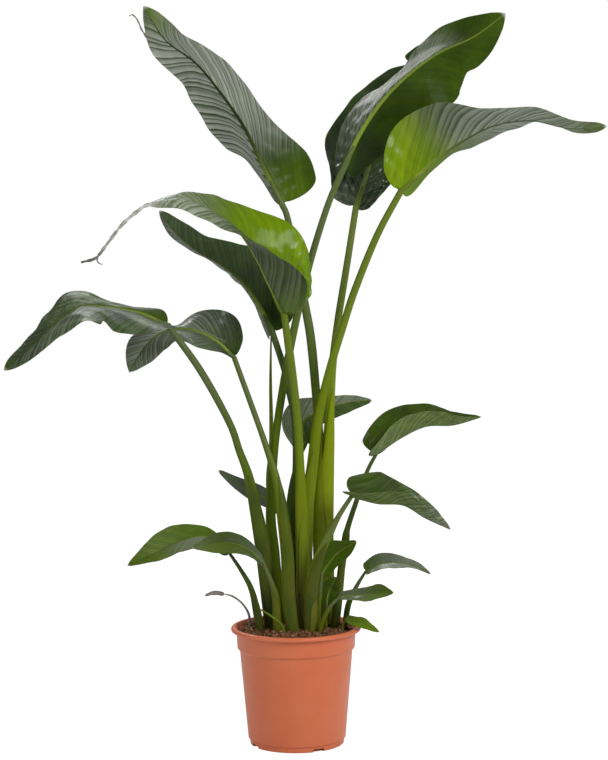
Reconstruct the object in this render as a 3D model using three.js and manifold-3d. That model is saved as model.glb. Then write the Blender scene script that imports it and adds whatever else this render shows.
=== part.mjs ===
// A bird of paradise plant of the tall, broad-leaved kind, standing in a plastic nursery pot.
// Sizes are millimetres and angles are degrees. +Z is up, +X is to the right and +Y leads away
// from the front. The origin is on the floor, under the middle of the pot.

import * as THREE from "three";
import { mergeVertices } from "three/addons/utils/BufferGeometryUtils.js";
import Module from "manifold-3d";

const wasm = await Module();
wasm.setup();

// The clearance that parts which touch on the real plant keep here
const GAP = 0.4;

const POT = {
  height: 225,
  lipRadius: 123,
  lipHeight: 8,
  lipWidth: 8,
  lipRound: 2,
  lipFace: 3,
  lipSlope: 0.5,
  collarTopRadius: 113,
  collarFootRadius: 111.5,
  collarHeight: 42,
  collarSlope: 2,
  bodyTopRadius: 107,
  bodyFootRadius: 92.5,
  footRadius: 89.5,
  footHeight: 11,
  footSlope: 1,
  footRound: 2,
  footDraft: 0.5,
  wall: 2,
  floor: 2.5,
  segments: 40,
};

const DRAIN = { count: 4, width: 22, height: 6, reach: 8, firstAngle: -63 };

// The soil reaches nearly to the lip and is a low, uneven mound round the stems
const SOIL = {
  top: 220,
  relief: 2.5,
  mound: 6,
  edgeDrop: 3,
  edgeGap: 0.5,
  footGap: 1,
  footDraft: 0.2,
  ringRadii: [97, 74, 49, 22],
  segments: 32,
  holeDepth: 45,
  aboveAll: 20,
};

// A blade is a thin sheet with a thick rib below its middle. The rib narrows to its least half
// width at the tip, and takes no more than its share of a half. Lengths such as those of the
// round ends, the lobe and a cut in the margin are parts of the blade's length.
const BLADE = {
  thickness: 1,
  ribDepth: 0.9,
  leastRib: 1,
  ribShare: 0.3,
  leastWidth: 1.5,
  roundBase: 0.07,
  roundTip: 0.05,
  lobeLength: 0.2,
  lobeBend: 1.5,
  cutLength: 0.03,
  firstStation: 0.02,
  bigSteps: 14,
  smallSteps: 6,
  bigLength: 220,
};

// The places of a blade's lines across each half, as parts of its width
const ACROSS = [0.55, 1];

// The ruffle of the margins: its waves along a blade, and where each half starts in them
const RUFFLE = { waves: 2.5, leftStart: 0.1, rightStart: 0.47 };

const STALK = { sides: 8, step: 75, leastSteps: 5, topThinness: 0.85 };

// A withered thread starts inside its blade and thins towards its end
const THREAD = { taper: 0.6, flatness: 0.6, sides: 6 };

// Each leaf: its rib from base to tip, and the turn of the upper face about the rib, where 0
// faces the front and 180 faces away. Each half has its widths at even steps from base to tip
// and its rise out of the flat, in degrees. The vein is half the rib's width, the lobe is how
// far the base reaches back beside the stalk, and the wave is the height of the ruffled edge.
// A stalk's rows go up from the soil: x, y, z, width and thickness.
const LEAVES = [
  {
    name: "leaf_1",
    rib: [[-18, 60, 1022], [-53, 72, 1093], [-87, 86, 1165], [-129, 104, 1228],
      [-178, 124, 1288], [-238, 146, 1335], [-278, 160, 1399]],
    turn: [180],
    left: { half: [70, 92, 60, 62, 68, 50, 8], rise: [5, 30, 40, 60, 15] },
    right: { half: [8, 48, 107, 76, 60, 44, 8], rise: [90, 75, 45, 35, 40] },
    vein: 6, lobe: 18, wave: 4,
    tail: {
      path: [[-260, 166, 1315], [-269, 168, 1331], [-276, 168, 1344], [-283, 167, 1355],
        [-288, 166, 1367], [-293, 165, 1377], [-301, 163, 1384], [-306, 161, 1381]],
      width: 4,
    },
    stalk: [[57, 45, 228, 24, 13], [57, 45, 344, 26, 13], [53, 44, 460, 22, 13],
      [47, 42, 600, 17, 13], [36, 42, 750, 17, 12], [24, 45, 830, 16, 12], [-5, 53, 985, 12, 11]],
  },
  {
    name: "leaf_2",
    rib: [[99, 0, 1089], [131, 10, 1153], [173, 20, 1212], [225, 32, 1262],
      [282, 44, 1301], [348, 56, 1331], [406, 66, 1373]],
    turn: [180],
    left: { half: [62, 95, 82, 92, 90, 56, 8], rise: [75, 45, 0, 30, 20] },
    right: { half: [34, 70, 84, 80, 76, 54, 8], rise: [80, 65, 85, 50, 25] },
    vein: 6, lobe: 18, wave: 4, cut: { side: 1, at: 0.76, depth: 0.14 },
    stalk: [[-29, 20, 228, 20, 14], [-38, 18, 355, 21, 14], [-45, 14, 435, 20, 14],
      [-39, 10, 536, 16, 13], [-30, 8, 613, 15, 13], [-10, 6, 727, 15, 12], [13, 4, 831, 14, 12],
      [37, 2, 923, 13, 11], [69, 0, 1021, 12, 10]],
  },
  {
    name: "leaf_3",
    rib: [[123, 68, 1016], [143, 94, 1071], [161, 122, 1126], [181, 152, 1178],
      [207, 180, 1231], [234, 210, 1280], [264, 240, 1327]],
    turn: [180],
    left: { half: [16, 48, 75, 76, 72, 46, 8], rise: [30, 30, 45, 40, 40] },
    right: { half: [40, 70, 98, 86, 72, 36, 8], rise: [10, 10, 25, 35, 40] },
    vein: 6, lobe: 16, wave: 5, cut: { side: -1, at: 0.85, depth: 0.8 },
    stalk: [[57, 22, 228, 28, 15], [57, 22, 269, 32, 15], [55, 22, 386, 34, 15],
      [59, 22, 500, 30, 14], [65, 22, 572, 22, 14], [70, 22, 653, 17, 14], [75, 23, 721, 15, 13],
      [86, 30, 803, 14, 12], [104, 46, 906, 13, 11]],
  },
  {
    name: "leaf_4",
    rib: [[205, -20, 1046], [257, -30, 1094], [313, -44, 1134], [374, -56, 1164],
      [440, -72, 1172], [508, -84, 1157], [576, -92, 1159]],
    turn: [-143, -140, -112, -110, -110],
    left: { half: [54, 88, 100, 60, 48, 32, 8], rise: [35, 45, 0, 25, -35] },
    right: { half: [30, 95, 88, 74, 56, 32, 8], rise: [20, 50, 10, 5, 25] },
    vein: 6, lobe: 20, wave: 3,
    stalk: [[15, 4, 228, 20, 13], [17, 4, 330, 26, 13], [23, 4, 440, 26, 13],
      [35, 2, 535, 22, 13], [45, 0, 613, 19, 12], [60, -2, 679, 16, 12], [75, -4, 733, 15, 12],
      [92, -6, 785, 14, 12], [116, -10, 858, 14, 12], [159, -16, 962, 13, 11]],
  },
  {
    name: "leaf_5",
    rib: [[-15, -30, 820], [-41, -46, 876], [-67, -62, 931], [-101, -80, 981],
      [-147, -102, 1015], [-202, -122, 1036], [-260, -140, 1026]],
    turn: [90],
    left: { half: [30, 80, 76, 70, 46, 36, 8], rise: [85, 50, 0, -30, -45] },
    right: { half: [60, 90, 98, 70, 46, 25, 8], rise: [75, 80, 40, 30, 25] },
    vein: 7, lobe: 18, wave: 3,
    tail: {
      path: [[-248, -137, 1029], [-260, -140, 1026], [-274, -140, 1018], [-305, -142, 992],
        [-334, -144, 956], [-354, -144, 932], [-381, -144, 924]],
      width: 5,
    },
    stalk: [[13, -22, 228, 18, 13], [15, -22, 334, 26, 13], [13, -22, 441, 24, 13],
      [11, -24, 541, 16, 12], [8, -26, 616, 16, 12], [0, -28, 702, 16, 12], [-6, -29, 752, 17, 11]],
  },
  {
    name: "leaf_6",
    rib: [[-39, 40, 782], [-63, 58, 830], [-95, 80, 874], [-135, 102, 907],
      [-181, 128, 932], [-221, 152, 964], [-255, 170, 1008]],
    turn: [175],
    left: { half: [30, 74, 84, 52, 34, 28, 6], rise: [25, 20, 25, 20, 15] },
    right: { half: [60, 72, 80, 76, 58, 32, 6], rise: [80, 80, 80, 75, 40] },
    vein: 6, lobe: 14, wave: 3,
    stalk: [[-5, 38, 228, 20, 12], [-7, 34, 325, 20, 12], [-1, 30, 434, 18, 12],
      [5, 26, 532, 16, 12], [3, 26, 614, 15, 12], [-7, 28, 668, 14, 12], [-15, 30, 706, 13, 11]],
  },
  {
    name: "leaf_7",
    rib: [[-231, -60, 803], [-279, -82, 827], [-335, -102, 840], [-388, -124, 842],
      [-435, -140, 810], [-477, -150, 769], [-523, -158, 731]],
    turn: [60, 60, 55, 45, 40],
    left: { half: [56, 84, 76, 72, 56, 36, 6], rise: [55, 5, 10, 20, 5] },
    right: { half: [56, 48, 62, 76, 56, 32, 6], rise: [-5, -30, -10, -25, 10] },
    vein: 6, lobe: 12, wave: 3, cut: { side: 1, at: 0.4, depth: 0.3 },
    stalk: [[-47, -4, 228, 26, 16], [-51, -8, 280, 28, 16], [-59, -18, 362, 29, 16],
      [-71, -28, 443, 25, 15], [-85, -36, 517, 19, 15], [-102, -41, 567, 15, 14], [-120, -46, 620, 14, 13],
      [-172, -54, 718, 14, 12]],
  },
  {
    name: "leaf_8",
    rib: [[-111, 20, 735], [-141, 14, 765], [-177, 8, 785], [-217, 4, 791],
      [-257, 0, 777], [-285, -4, 747], [-307, -6, 711]],
    turn: [55, 50, 40, 20, 10],
    left: { half: [40, 52, 60, 40, 38, 30, 4], rise: [50, 25, 20, 15, 5] },
    right: { half: [40, 62, 50, 52, 36, 32, 4], rise: [-5, 35, -50, -10, 15] },
    vein: 5, lobe: 10, wave: 2,
    stalk: [[-7, -56, 228, 24, 14], [-13, -50, 287, 25, 14], [-15, -42, 365, 24, 13],
      [-23, -30, 443, 22, 13], [-33, -18, 507, 17, 12], [-55, -4, 577, 12, 11],
      [-81, 8, 651, 11, 10]],
  },
  {
    name: "leaf_9",
    rib: [[23, 76, 563], [21, 86, 605], [61, 98, 627], [105, 110, 637], [151, 120, 640]],
    turn: [150],
    left: { half: [24, 30, 28, 20, 4], rise: [35, 55, 35] },
    right: { half: [40, 62, 28, 20, 4], rise: [30, 15, 20] },
    vein: 3.5, lobe: 10, wave: 2,
    stalk: [[-11, 60, 228, 9, 8], [-13, 60, 321, 9, 8], [-13, 62, 417, 8, 7], [-9, 66, 469, 8, 7],
      [3, 72, 519, 7, 6]],
  },
  {
    name: "leaf_10",
    rib: [[-5, 84, 422], [-39, 86, 447], [-75, 88, 467], [-111, 88, 487], [-145, 90, 511]],
    turn: [180],
    left: { half: [14, 16, 18, 12, 3], rise: [15] },
    right: { half: [14, 16, 18, 12, 3], rise: [15] },
    vein: 2.5, lobe: 4, wave: 1,
    stalk: [[5, 76, 228, 8, 7], [3, 78, 338, 7, 6]],
  },
  {
    name: "leaf_11",
    rib: [[-59, -60, 355], [-85, -64, 381], [-119, -70, 396], [-155, -76, 396],
      [-191, -82, 390]],
    turn: [60],
    left: { half: [16, 18, 24, 20, 3], rise: [35, -15, -25] },
    right: { half: [16, 20, 24, 18, 3], rise: [-20, 25, 25] },
    vein: 3, lobe: 5, wave: 1,
    stalk: [[-35, -46, 228, 15, 12], [-37, -48, 287, 15, 11], [-45, -54, 319, 9, 8]],
  },
  {
    name: "leaf_12",
    rib: [[-125, -32, 373], [-167, -36, 403], [-219, -44, 395], [-265, -50, 373],
      [-313, -56, 353]],
    turn: [60],
    left: { half: [20, 34, 28, 20, 3], rise: [20, -10, -5] },
    right: { half: [20, 22, 36, 28, 4], rise: [-5, 35, 35] },
    vein: 3, lobe: 6, wave: 2,
    stalk: [[-69, -24, 228, 15, 10], [-73, -24, 256, 15, 10], [-83, -28, 302, 12, 9],
      [-103, -29, 339, 8, 7]],
  },
  {
    name: "leaf_13",
    rib: [[155, -10, 553], [199, -14, 583], [247, -18, 605], [299, -20, 607], [351, -22, 621]],
    turn: [-80],
    left: { half: [34, 60, 46, 28, 4], rise: [65, 60, 50] },
    right: { half: [28, 46, 40, 28, 4], rise: [35, 70, 50] },
    vein: 3.5, lobe: 22, wave: 2,
    stalk: [[74, -10, 228, 16, 12], [79, -10, 266, 16, 12], [87, -8, 332, 14, 11],
      [95, -8, 390, 16, 11], [99, -8, 412, 12, 10], [115, -8, 459, 10, 9], [137, -9, 519, 8, 8]],
  },
  {
    name: "leaf_14",
    rib: [[107, -82, 484], [153, -92, 472], [201, -102, 469], [242, -112, 445],
      [286, -122, 425]],
    turn: [-80],
    left: { half: [26, 60, 36, 28, 4], rise: [75, 65, 55] },
    right: { half: [12, 34, 36, 24, 4], rise: [35, 65, 50] },
    vein: 4, lobe: 30, wave: 2,
    stalk: [[27, -56, 228, 24, 14], [29, -56, 289, 24, 14], [37, -58, 341, 21, 13],
      [49, -62, 379, 18, 12], [67, -68, 416, 14, 11], [83, -75, 447, 10, 9]],
  },
  {
    name: "leaf_15",
    rib: [[133, -14, 330], [161, -18, 344], [193, -24, 348], [226, -26, 340],
      [254, -30, 326]],
    turn: [-65],
    left: { half: [16, 24, 16, 12, 3], rise: [35, 30, 25] },
    right: { half: [12, 18, 18, 10, 3], rise: [10, 0, 20] },
    vein: 2.5, lobe: 6, wave: 1,
    stalk: [[93, -4, 228, 11, 9], [100, -6, 268, 12, 9], [116, -10, 302, 8, 7]],
  },
  {
    name: "leaf_16",
    rib: [[83, -72, 293], [107, -74, 295], [131, -78, 297], [155, -80, 299],
      [182, -82, 301]],
    turn: [-60],
    left: { half: [12, 16, 16, 20, 3], rise: [5, 25, 35] },
    right: { half: [12, 16, 18, 12, 3], rise: [25, 0, -5] },
    vein: 2.5, lobe: 4, wave: 1,
    stalk: [[45, -70, 228, 8, 7], [52, -70, 251, 8, 7], [65, -71, 275, 7, 6]],
  },
  {
    name: "leaf_17",
    rib: [[95, -40, 246], [111, -42, 240], [127, -42, 236], [141, -44, 228], [156, -46, 220]],
    turn: [-60],
    left: { half: [8, 13, 13, 9, 2], rise: [10] },
    right: { half: [8, 13, 13, 9, 2], rise: [-5] },
    vein: 2, lobe: 2, wave: 1,
    stalk: [[87, -36, 226, 6, 6], [90, -38, 238, 5, 5]],
  },
  {
    name: "leaf_18",
    rib: [[51, -22, 330], [65, -24, 350], [79, -26, 367], [97, -30, 379], [115, -34, 391]],
    turn: [0],
    left: { half: [18, 28, 30, 16, 3], rise: [10] },
    right: { half: [18, 16, 20, 16, 3], rise: [20] },
    vein: 2.5, lobe: 5, wave: 1,
    stalk: [[43, -22, 228, 8, 7], [45, -21, 278, 7, 6]],
  },
  {
    name: "leaf_19",
    rib: [[59, -18, 272], [61, -16, 284], [65, -14, 296], [71, -16, 308], [77, -16, 320]],
    turn: [0],
    left: { half: [10, 12, 17, 15, 3], rise: [10] },
    right: { half: [10, 14, 14, 10, 3], rise: [18] },
    vein: 2, lobe: 3, wave: 1,
    stalk: [[57, -22, 228, 6, 6], [57, -20, 246, 6, 5]],
  },
  {
    name: "dry_leaf",
    rib: [[-135, -6, 288], [-153, -6, 290], [-171, -6, 286]],
    turn: [180],
    left: { half: [4, 5, 2], rise: [30] },
    right: { half: [4, 4, 2], rise: [20] },
    vein: 1, lobe: 0, wave: 1,
    stalk: [[-87, -10, 228, 6, 6], [-89, -10, 250, 5, 5], [-101, -8, 270, 4, 4],
      [-119, -8, 284, 4, 4]],
  },
];

// Rolled young leaves: rows like a stalk's, ending in a point
const SHOOTS = [
  {
    name: "spear_leaf",
    rows: [[-37, 48, 228, 12, 12], [-39, 48, 323, 13, 12], [-45, 46, 431, 13, 12],
      [-49, 44, 498, 12, 11], [-43, 44, 570, 10, 9], [-43, 44, 686, 6, 6], [-41, 44, 770, 3, 3]],
  },
  {
    name: "side_shoot",
    rows: [[-23, -70, 228, 8, 7], [-27, -72, 241, 7, 6], [-43, -76, 256, 6, 5],
      [-55, -79, 265, 4, 4], [-67, -82, 273, 3, 3]],
  },
];

const COLOUR = {
  pot: 0xb8573a,
  soil: 0x4a3428,
  stalk: 0x6f8a34,
  blade: 0x3f6b2c,
  dry: 0xa99f86,
};

const vector = ([x, y, z]) => new THREE.Vector3(x, y, z);

const radians = THREE.MathUtils.degToRad;

function smoothPath(points) {
  return new THREE.CatmullRomCurve3(points.map(vector), false, "catmullrom", 0.5);
}

/** The value at t, from 0 to 1, of a list that holds values at even steps. */
function eased(list, t) {
  if (list.length === 1) return list[0];
  const curve = smoothPath(list.map((value) => [value, 0, 0]));
  return curve.getPoint(t).x;
}

/** A half width that starts round at the base and ends round at the tip. */
function roundedEnds(t) {
  const base = Math.min(t / BLADE.roundBase, 1);
  const tip = Math.min((1 - t) / BLADE.roundTip, 1);
  return Math.sqrt(1 - (1 - base) ** 2) * Math.sqrt(1 - (1 - tip) ** 2);
}

/** A geometry from rings of points that are joined in order, with flat fans at both ends. */
function loft(rings) {
  const sides = rings[0].length;
  const position = rings.flat().flatMap((point) => point.toArray());
  const index = [];
  for (let i = 0; i < rings.length - 1; i++) {
    for (let j = 0; j < sides; j++) {
      const a = i * sides + j;
      const b = i * sides + ((j + 1) % sides);
      index.push(a, b, b + sides, a, b + sides, a + sides);
    }
  }
  const last = (rings.length - 1) * sides;
  for (let j = 1; j < sides - 1; j++) {
    index.push(0, j + 1, j, last, last + j, last + j + 1);
  }
  return indexed(position, index);
}

function indexed(position, index) {
  const geometry = new THREE.BufferGeometry();
  geometry.setAttribute("position", new THREE.Float32BufferAttribute(position, 3));
  geometry.setIndex(index);
  return geometry;
}

function toSolid(geometry) {
  const bare = geometry.clone();
  bare.deleteAttribute("normal");
  bare.deleteAttribute("uv");
  const merged = mergeVertices(bare, 1e-3);
  return new wasm.Manifold(new wasm.Mesh({
    numProp: 3,
    vertProperties: Float32Array.from(merged.attributes.position.array),
    triVerts: Uint32Array.from(merged.index.array),
  }));
}

function fromSolid(solid) {
  const mesh = solid.getMesh();
  return indexed(Array.from(mesh.vertProperties), Array.from(mesh.triVerts));
}

/** Half the width of a leaf's rib at t, before it is held to its share of the blade. */
function ribHalf(leaf, t) {
  return leaf.vein * (1 - t) + BLADE.leastRib;
}

/** The points across a blade at one step, each with its normal and its depth below the sheet. */
function crossLine(leaf, t, centre, along) {
  const away = new THREE.Vector3(0, 1, 0);
  const flatLeft = along.clone().cross(away).normalize();
  const front = along.clone().cross(flatLeft);
  const turn = radians(eased(leaf.turn, t));
  const leftward = flatLeft.clone().multiplyScalar(Math.cos(turn)).addScaledVector(front, Math.sin(turn));
  const upward = front.clone().multiplyScalar(Math.cos(turn)).addScaledVector(flatLeft, -Math.sin(turn));

  const half = (side, shape) => {
    const rise = radians(eased(shape.rise, t));
    const cut = leaf.cut && leaf.cut.side === side
      ? 1 - leaf.cut.depth * Math.exp(-(((t - leaf.cut.at) / BLADE.cutLength) ** 2)) : 1;
    const least = t === 0 ? leaf.vein : BLADE.leastWidth;
    const width = Math.max(eased(shape.half, t) * roundedEnds(t) * cut, least);
    const vein = Math.min(ribHalf(leaf, t), BLADE.ribShare * width);
    const start = side > 0 ? RUFFLE.leftStart : RUFFLE.rightStart;
    const waves = Math.sin(2 * Math.PI * (RUFFLE.waves * t + start));
    const ripple = leaf.wave * waves * Math.sin(Math.PI * t);
    const back = leaf.lobe * roundedEnds(t) * Math.exp(-((t / BLADE.lobeLength) ** 2));
    return [vein / width, ...ACROSS].map((part, k) => {
      const beyond = Math.max(part * width - vein, 0);
      const angle = k === 0 ? 0 : rise;
      const normal = upward.clone().multiplyScalar(Math.cos(angle))
        .addScaledVector(leftward, -side * Math.sin(angle));
      const point = centre.clone()
        .addScaledVector(leftward, side * (Math.min(part * width, vein) + beyond * Math.cos(rise)))
        .addScaledVector(upward, beyond * Math.sin(rise))
        .addScaledVector(normal, ripple * part * part)
        .addScaledVector(along, -back * part ** BLADE.lobeBend);
      return { point, normal, depth: 0 };
    });
  };
  const depth = BLADE.ribDepth * ribHalf(leaf, t);
  return [...half(1, leaf.left).reverse(), { point: centre, normal: upward, depth },
    ...half(-1, leaf.right)];
}

/** A closed blade, whose upper and lower faces are split into triangles alike. */
function bladeGeometry(leaf) {
  const curve = smoothPath(leaf.rib);
  const even = curve.getLength() > BLADE.bigLength ? BLADE.bigSteps : BLADE.smallSteps;
  const evenly = Array.from({ length: even }, (_, k) => (k + 1) / even);
  const stations = [0, BLADE.firstStation, ...evenly];
  const steps = stations.length - 1;
  const lines = stations.map((t) => crossLine(leaf, t, curve.getPointAt(t), curve.getTangentAt(t)));
  const across = lines[0].length;
  const rings = lines.map((line) => {
    const upper = line.map(({ point, normal }) => (
      point.clone().addScaledVector(normal, BLADE.thickness / 2)));
    const lower = line.map(({ point, normal, depth }) => (
      point.clone().addScaledVector(normal, -BLADE.thickness / 2 - depth)));
    return [...upper, ...lower];
  });
  const position = rings.flat().flatMap((point) => point.toArray());
  const at = (i, j, face) => i * 2 * across + face * across + j;
  const index = [];
  const quad = (a, b, c, d) => index.push(a, b, c, a, c, d);
  for (let i = 0; i < steps; i++) {
    for (let j = 0; j < across - 1; j++) {
      quad(at(i, j, 0), at(i, j + 1, 0), at(i + 1, j + 1, 0), at(i + 1, j, 0));
      index.push(at(i, j, 1), at(i + 1, j + 1, 1), at(i, j + 1, 1));
      index.push(at(i, j, 1), at(i + 1, j, 1), at(i + 1, j + 1, 1));
    }
    quad(at(i, 0, 1), at(i, 0, 0), at(i + 1, 0, 0), at(i + 1, 0, 1));
    quad(at(i, across - 1, 0), at(i, across - 1, 1), at(i + 1, across - 1, 1), at(i + 1, across - 1, 0));
  }
  for (let j = 0; j < across - 1; j++) {
    quad(at(0, j, 0), at(0, j, 1), at(0, j + 1, 1), at(0, j + 1, 0));
    quad(at(steps, j, 1), at(steps, j, 0), at(steps, j + 1, 0), at(steps, j + 1, 1));
  }
  return indexed(position, index);
}

/** A ring of an oval whose width lies as near as it can to left and right. */
function ovalRing(centre, along, width, thickness, sides) {
  const wide = new THREE.Vector3(1, 0, 0);
  wide.addScaledVector(along, -along.dot(wide)).normalize();
  const deep = along.clone().cross(wide);
  return Array.from({ length: sides }, (_, k) => {
    const angle = (2 * Math.PI * k) / sides;
    return centre.clone()
      .addScaledVector(wide, (width / 2) * Math.cos(angle))
      .addScaledVector(deep, (thickness / 2) * Math.sin(angle));
  });
}

const UP = new THREE.Vector3(0, 0, 1);

/** A stem that stands upright in its hole in the soil and follows its rows to the end. */
function stemGeometry(rows, lastDirection) {
  const curve = smoothPath(rows.map((row) => row.slice(0, 3)));
  const steps = Math.max(STALK.leastSteps, Math.round(curve.getLength() / STALK.step), rows.length);
  const widths = rows.map((row) => row[3]);
  const depths = rows.map((row) => row[4]);
  const [x, y, z, width, thickness] = rows[0];
  const foot = new THREE.Vector3(x, y, SOIL.top - SOIL.holeDepth + GAP);
  const rings = [foot, new THREE.Vector3(x, y, z)]
    .map((centre) => ovalRing(centre, UP, width, thickness, STALK.sides));
  for (let i = 1; i <= steps; i++) {
    const t = curve.getUtoTmapping(i / steps);
    const along = i === steps && lastDirection ? lastDirection : curve.getTangent(t);
    rings.push(ovalRing(curve.getPoint(t), along, eased(widths, t), eased(depths, t), STALK.sides));
  }
  return loft(rings);
}

/** The plain hole in the soil that a stem stands in. */
function holeGeometry([x, y, , width, thickness]) {
  const levels = [SOIL.top - SOIL.holeDepth, SOIL.top + SOIL.aboveAll];
  const rings = levels.map((z) => (
    ovalRing(new THREE.Vector3(x, y, z), UP, width + 2 * GAP, thickness + 2 * GAP, STALK.sides)));
  return loft(rings);
}

/** A thin thread, such as the withered end of a blade. */
function threadGeometry({ path, width }) {
  const curve = smoothPath(path);
  const steps = 2 * path.length;
  const rings = Array.from({ length: steps + 1 }, (_, i) => {
    const t = i / steps;
    const size = width * (1 - THREAD.taper * t);
    const thickness = THREAD.flatness * size;
    return ovalRing(curve.getPointAt(t), curve.getTangentAt(t), size, thickness, THREAD.sides);
  });
  return loft(rings);
}

/** The blade of a leaf, with its withered thread where it has one. */
function wholeBlade(leaf) {
  const blade = bladeGeometry(leaf);
  if (!leaf.tail) return blade;
  return fromSolid(toSolid(blade).add(toSolid(threadGeometry(leaf.tail))));
}

/** A turned body about the Z axis, from a profile of [radius, height] pairs. */
function turned(profile, segments) {
  const outline = profile.map(([radius, height]) => new THREE.Vector2(radius, height));
  return new THREE.LatheGeometry(outline, segments).rotateX(Math.PI / 2);
}

/** Heights and radii of the pot's wall, on its outer side, from the foot to the collar's top. */
const wallSteps = [
  [POT.footRadius, POT.footHeight - POT.footSlope],
  [POT.bodyFootRadius, POT.footHeight + POT.footSlope],
  [POT.bodyTopRadius, POT.height - POT.collarHeight - POT.collarSlope],
  [POT.collarFootRadius, POT.height - POT.collarHeight + POT.collarSlope],
  [POT.collarTopRadius, POT.height - POT.lipHeight],
];

function potGeometry() {
  const { height, lipRadius, lipHeight, lipRound, lipFace, footRadius, wall, floor } = POT;
  const lipMiddle = height - lipHeight / 2;
  const inside = wallSteps.map(([radius, level]) => [radius - wall, level]).reverse();
  const profile = [
    [0, 0],
    [footRadius - POT.footRound, 0],
    [footRadius - POT.footDraft, POT.footRound],
    ...wallSteps,
    [lipRadius - lipRound, height - lipHeight + POT.lipSlope],
    [lipRadius, lipMiddle - lipFace / 2],
    [lipRadius, lipMiddle + lipFace / 2],
    [lipRadius - lipRound, height],
    [lipRadius - POT.lipWidth, height],
    ...inside,
    [footRadius - wall - POT.footDraft, floor],
    [0, floor],
  ];
  let solid = toSolid(turned(profile, POT.segments));
  for (let k = 0; k < DRAIN.count; k++) {
    const notch = new THREE.BoxGeometry(2 * DRAIN.reach, DRAIN.width, 2 * DRAIN.height);
    notch.translate(footRadius, 0, 0);
    notch.rotateZ(radians(DRAIN.firstAngle + (360 * k) / DRAIN.count));
    solid = solid.subtract(toSolid(notch));
  }
  return fromSolid(solid);
}

/** How high the soil's surface stands above its top level at a place. */
function soilRise(x, y) {
  const bumps = Math.sin(0.11 * x + 1) * Math.cos(0.13 * y) + 0.6 * Math.sin(0.23 * (x + y));
  return SOIL.relief * bumps + SOIL.mound * (1 - Math.hypot(x, y) / POT.collarTopRadius);
}

function soilGeometry() {
  const space = POT.wall + GAP;
  const wallFace = wallSteps.slice(1, -1).map(([radius, level]) => [radius - space, level]);
  const profile = [
    [0, POT.floor + GAP],
    [POT.footRadius - space - SOIL.footGap, POT.floor + GAP],
    [POT.footRadius - space - SOIL.footDraft, POT.footHeight - POT.footSlope],
    ...wallFace,
    [POT.collarTopRadius - space - SOIL.edgeGap, SOIL.top - SOIL.edgeDrop],
    ...SOIL.ringRadii.map((radius) => [radius, SOIL.top]),
    [0, SOIL.top],
  ];
  const body = turned(profile, SOIL.segments);
  const position = body.attributes.position;
  for (let i = 0; i < position.count; i++) {
    const [x, y, z] = [position.getX(i), position.getY(i), position.getZ(i)];
    if (z > SOIL.top - SOIL.edgeDrop / 2) position.setZ(i, z + soilRise(x, y));
  }
  let solid = toSolid(body);
  const stems = [...LEAVES.map((leaf) => leaf.stalk[0]), ...SHOOTS.map((shoot) => shoot.rows[0])];
  stems.forEach((row) => {
    solid = solid.subtract(toSolid(holeGeometry(row)));
  });
  return fromSolid(solid);
}

function material(color, roughness) {
  return new THREE.MeshStandardMaterial({ color, roughness, metalness: 0 });
}

function piece(name, geometry, look) {
  const mesh = new THREE.Mesh(geometry, look);
  mesh.name = name;
  return mesh;
}

/** A leaf's stalk, which ends a gap short of the blade's base, in line with the rib. */
function stalkGeometry(leaf) {
  const direction = smoothPath(leaf.rib).getTangent(0);
  const end = vector(leaf.rib[0]).addScaledVector(direction, -GAP);
  const top = [...end.toArray(), 2 * leaf.vein, 2 * leaf.vein * STALK.topThinness];
  return stemGeometry([...leaf.stalk, top], direction);
}

const plant = new THREE.Group();
plant.add(piece("pot", potGeometry(), material(COLOUR.pot, 0.55)));
plant.add(piece("soil", soilGeometry(), material(COLOUR.soil, 0.95)));

LEAVES.forEach((leaf) => {
  const colour = leaf.name === "dry_leaf" ? COLOUR.dry : COLOUR.blade;
  plant.add(piece(`${leaf.name}_blade`, wholeBlade(leaf), material(colour, 0.4)));
  plant.add(piece(`${leaf.name}_stalk`, stalkGeometry(leaf), material(COLOUR.stalk, 0.5)));
});

SHOOTS.forEach((shoot) => {
  plant.add(piece(shoot.name, stemGeometry(shoot.rows), material(COLOUR.stalk, 0.5)));
});

export default plant;
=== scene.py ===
"""A potted bird of paradise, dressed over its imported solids. Leaf sizes are millimetres."""

import logging
import math
import random
from collections.abc import Sequence
from dataclasses import dataclass
from enum import Enum

import bmesh
import bpy
import numpy as np
from mathutils import Euler, Matrix, Vector, noise


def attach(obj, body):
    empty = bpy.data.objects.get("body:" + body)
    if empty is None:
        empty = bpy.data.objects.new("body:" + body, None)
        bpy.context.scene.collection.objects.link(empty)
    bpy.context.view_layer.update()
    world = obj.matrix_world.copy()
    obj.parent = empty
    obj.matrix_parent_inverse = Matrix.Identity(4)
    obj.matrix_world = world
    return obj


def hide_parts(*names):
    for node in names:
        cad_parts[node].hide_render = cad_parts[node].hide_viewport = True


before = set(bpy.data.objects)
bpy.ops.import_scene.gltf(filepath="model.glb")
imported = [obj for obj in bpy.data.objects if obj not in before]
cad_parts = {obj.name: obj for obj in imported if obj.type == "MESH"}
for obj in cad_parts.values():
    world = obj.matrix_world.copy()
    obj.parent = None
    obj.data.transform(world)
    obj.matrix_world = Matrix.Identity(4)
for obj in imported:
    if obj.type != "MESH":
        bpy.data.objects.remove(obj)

log = logging.getLogger("plant")

MM = 0.001
BODY = "root"
SOIL_TOP = 220.0
HOLE_DEPTH = 45.0
SEAT_GAP = 0.4
# The rings of a stem below the first row of its table, and how far up a stalk is red
FOOT_RINGS = 6
RED_REACH = 160.0
WELD = 1e-7

Colour = tuple[float, float, float, float]
Values = Sequence[float]
Rows = Sequence[Values]
Layer = bmesh.types.BMLayerItem


class Side(Enum):
    """The half of a blade, seen on its upper face with the tip ahead."""

    LEFT = 1
    RIGHT = -1


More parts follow.
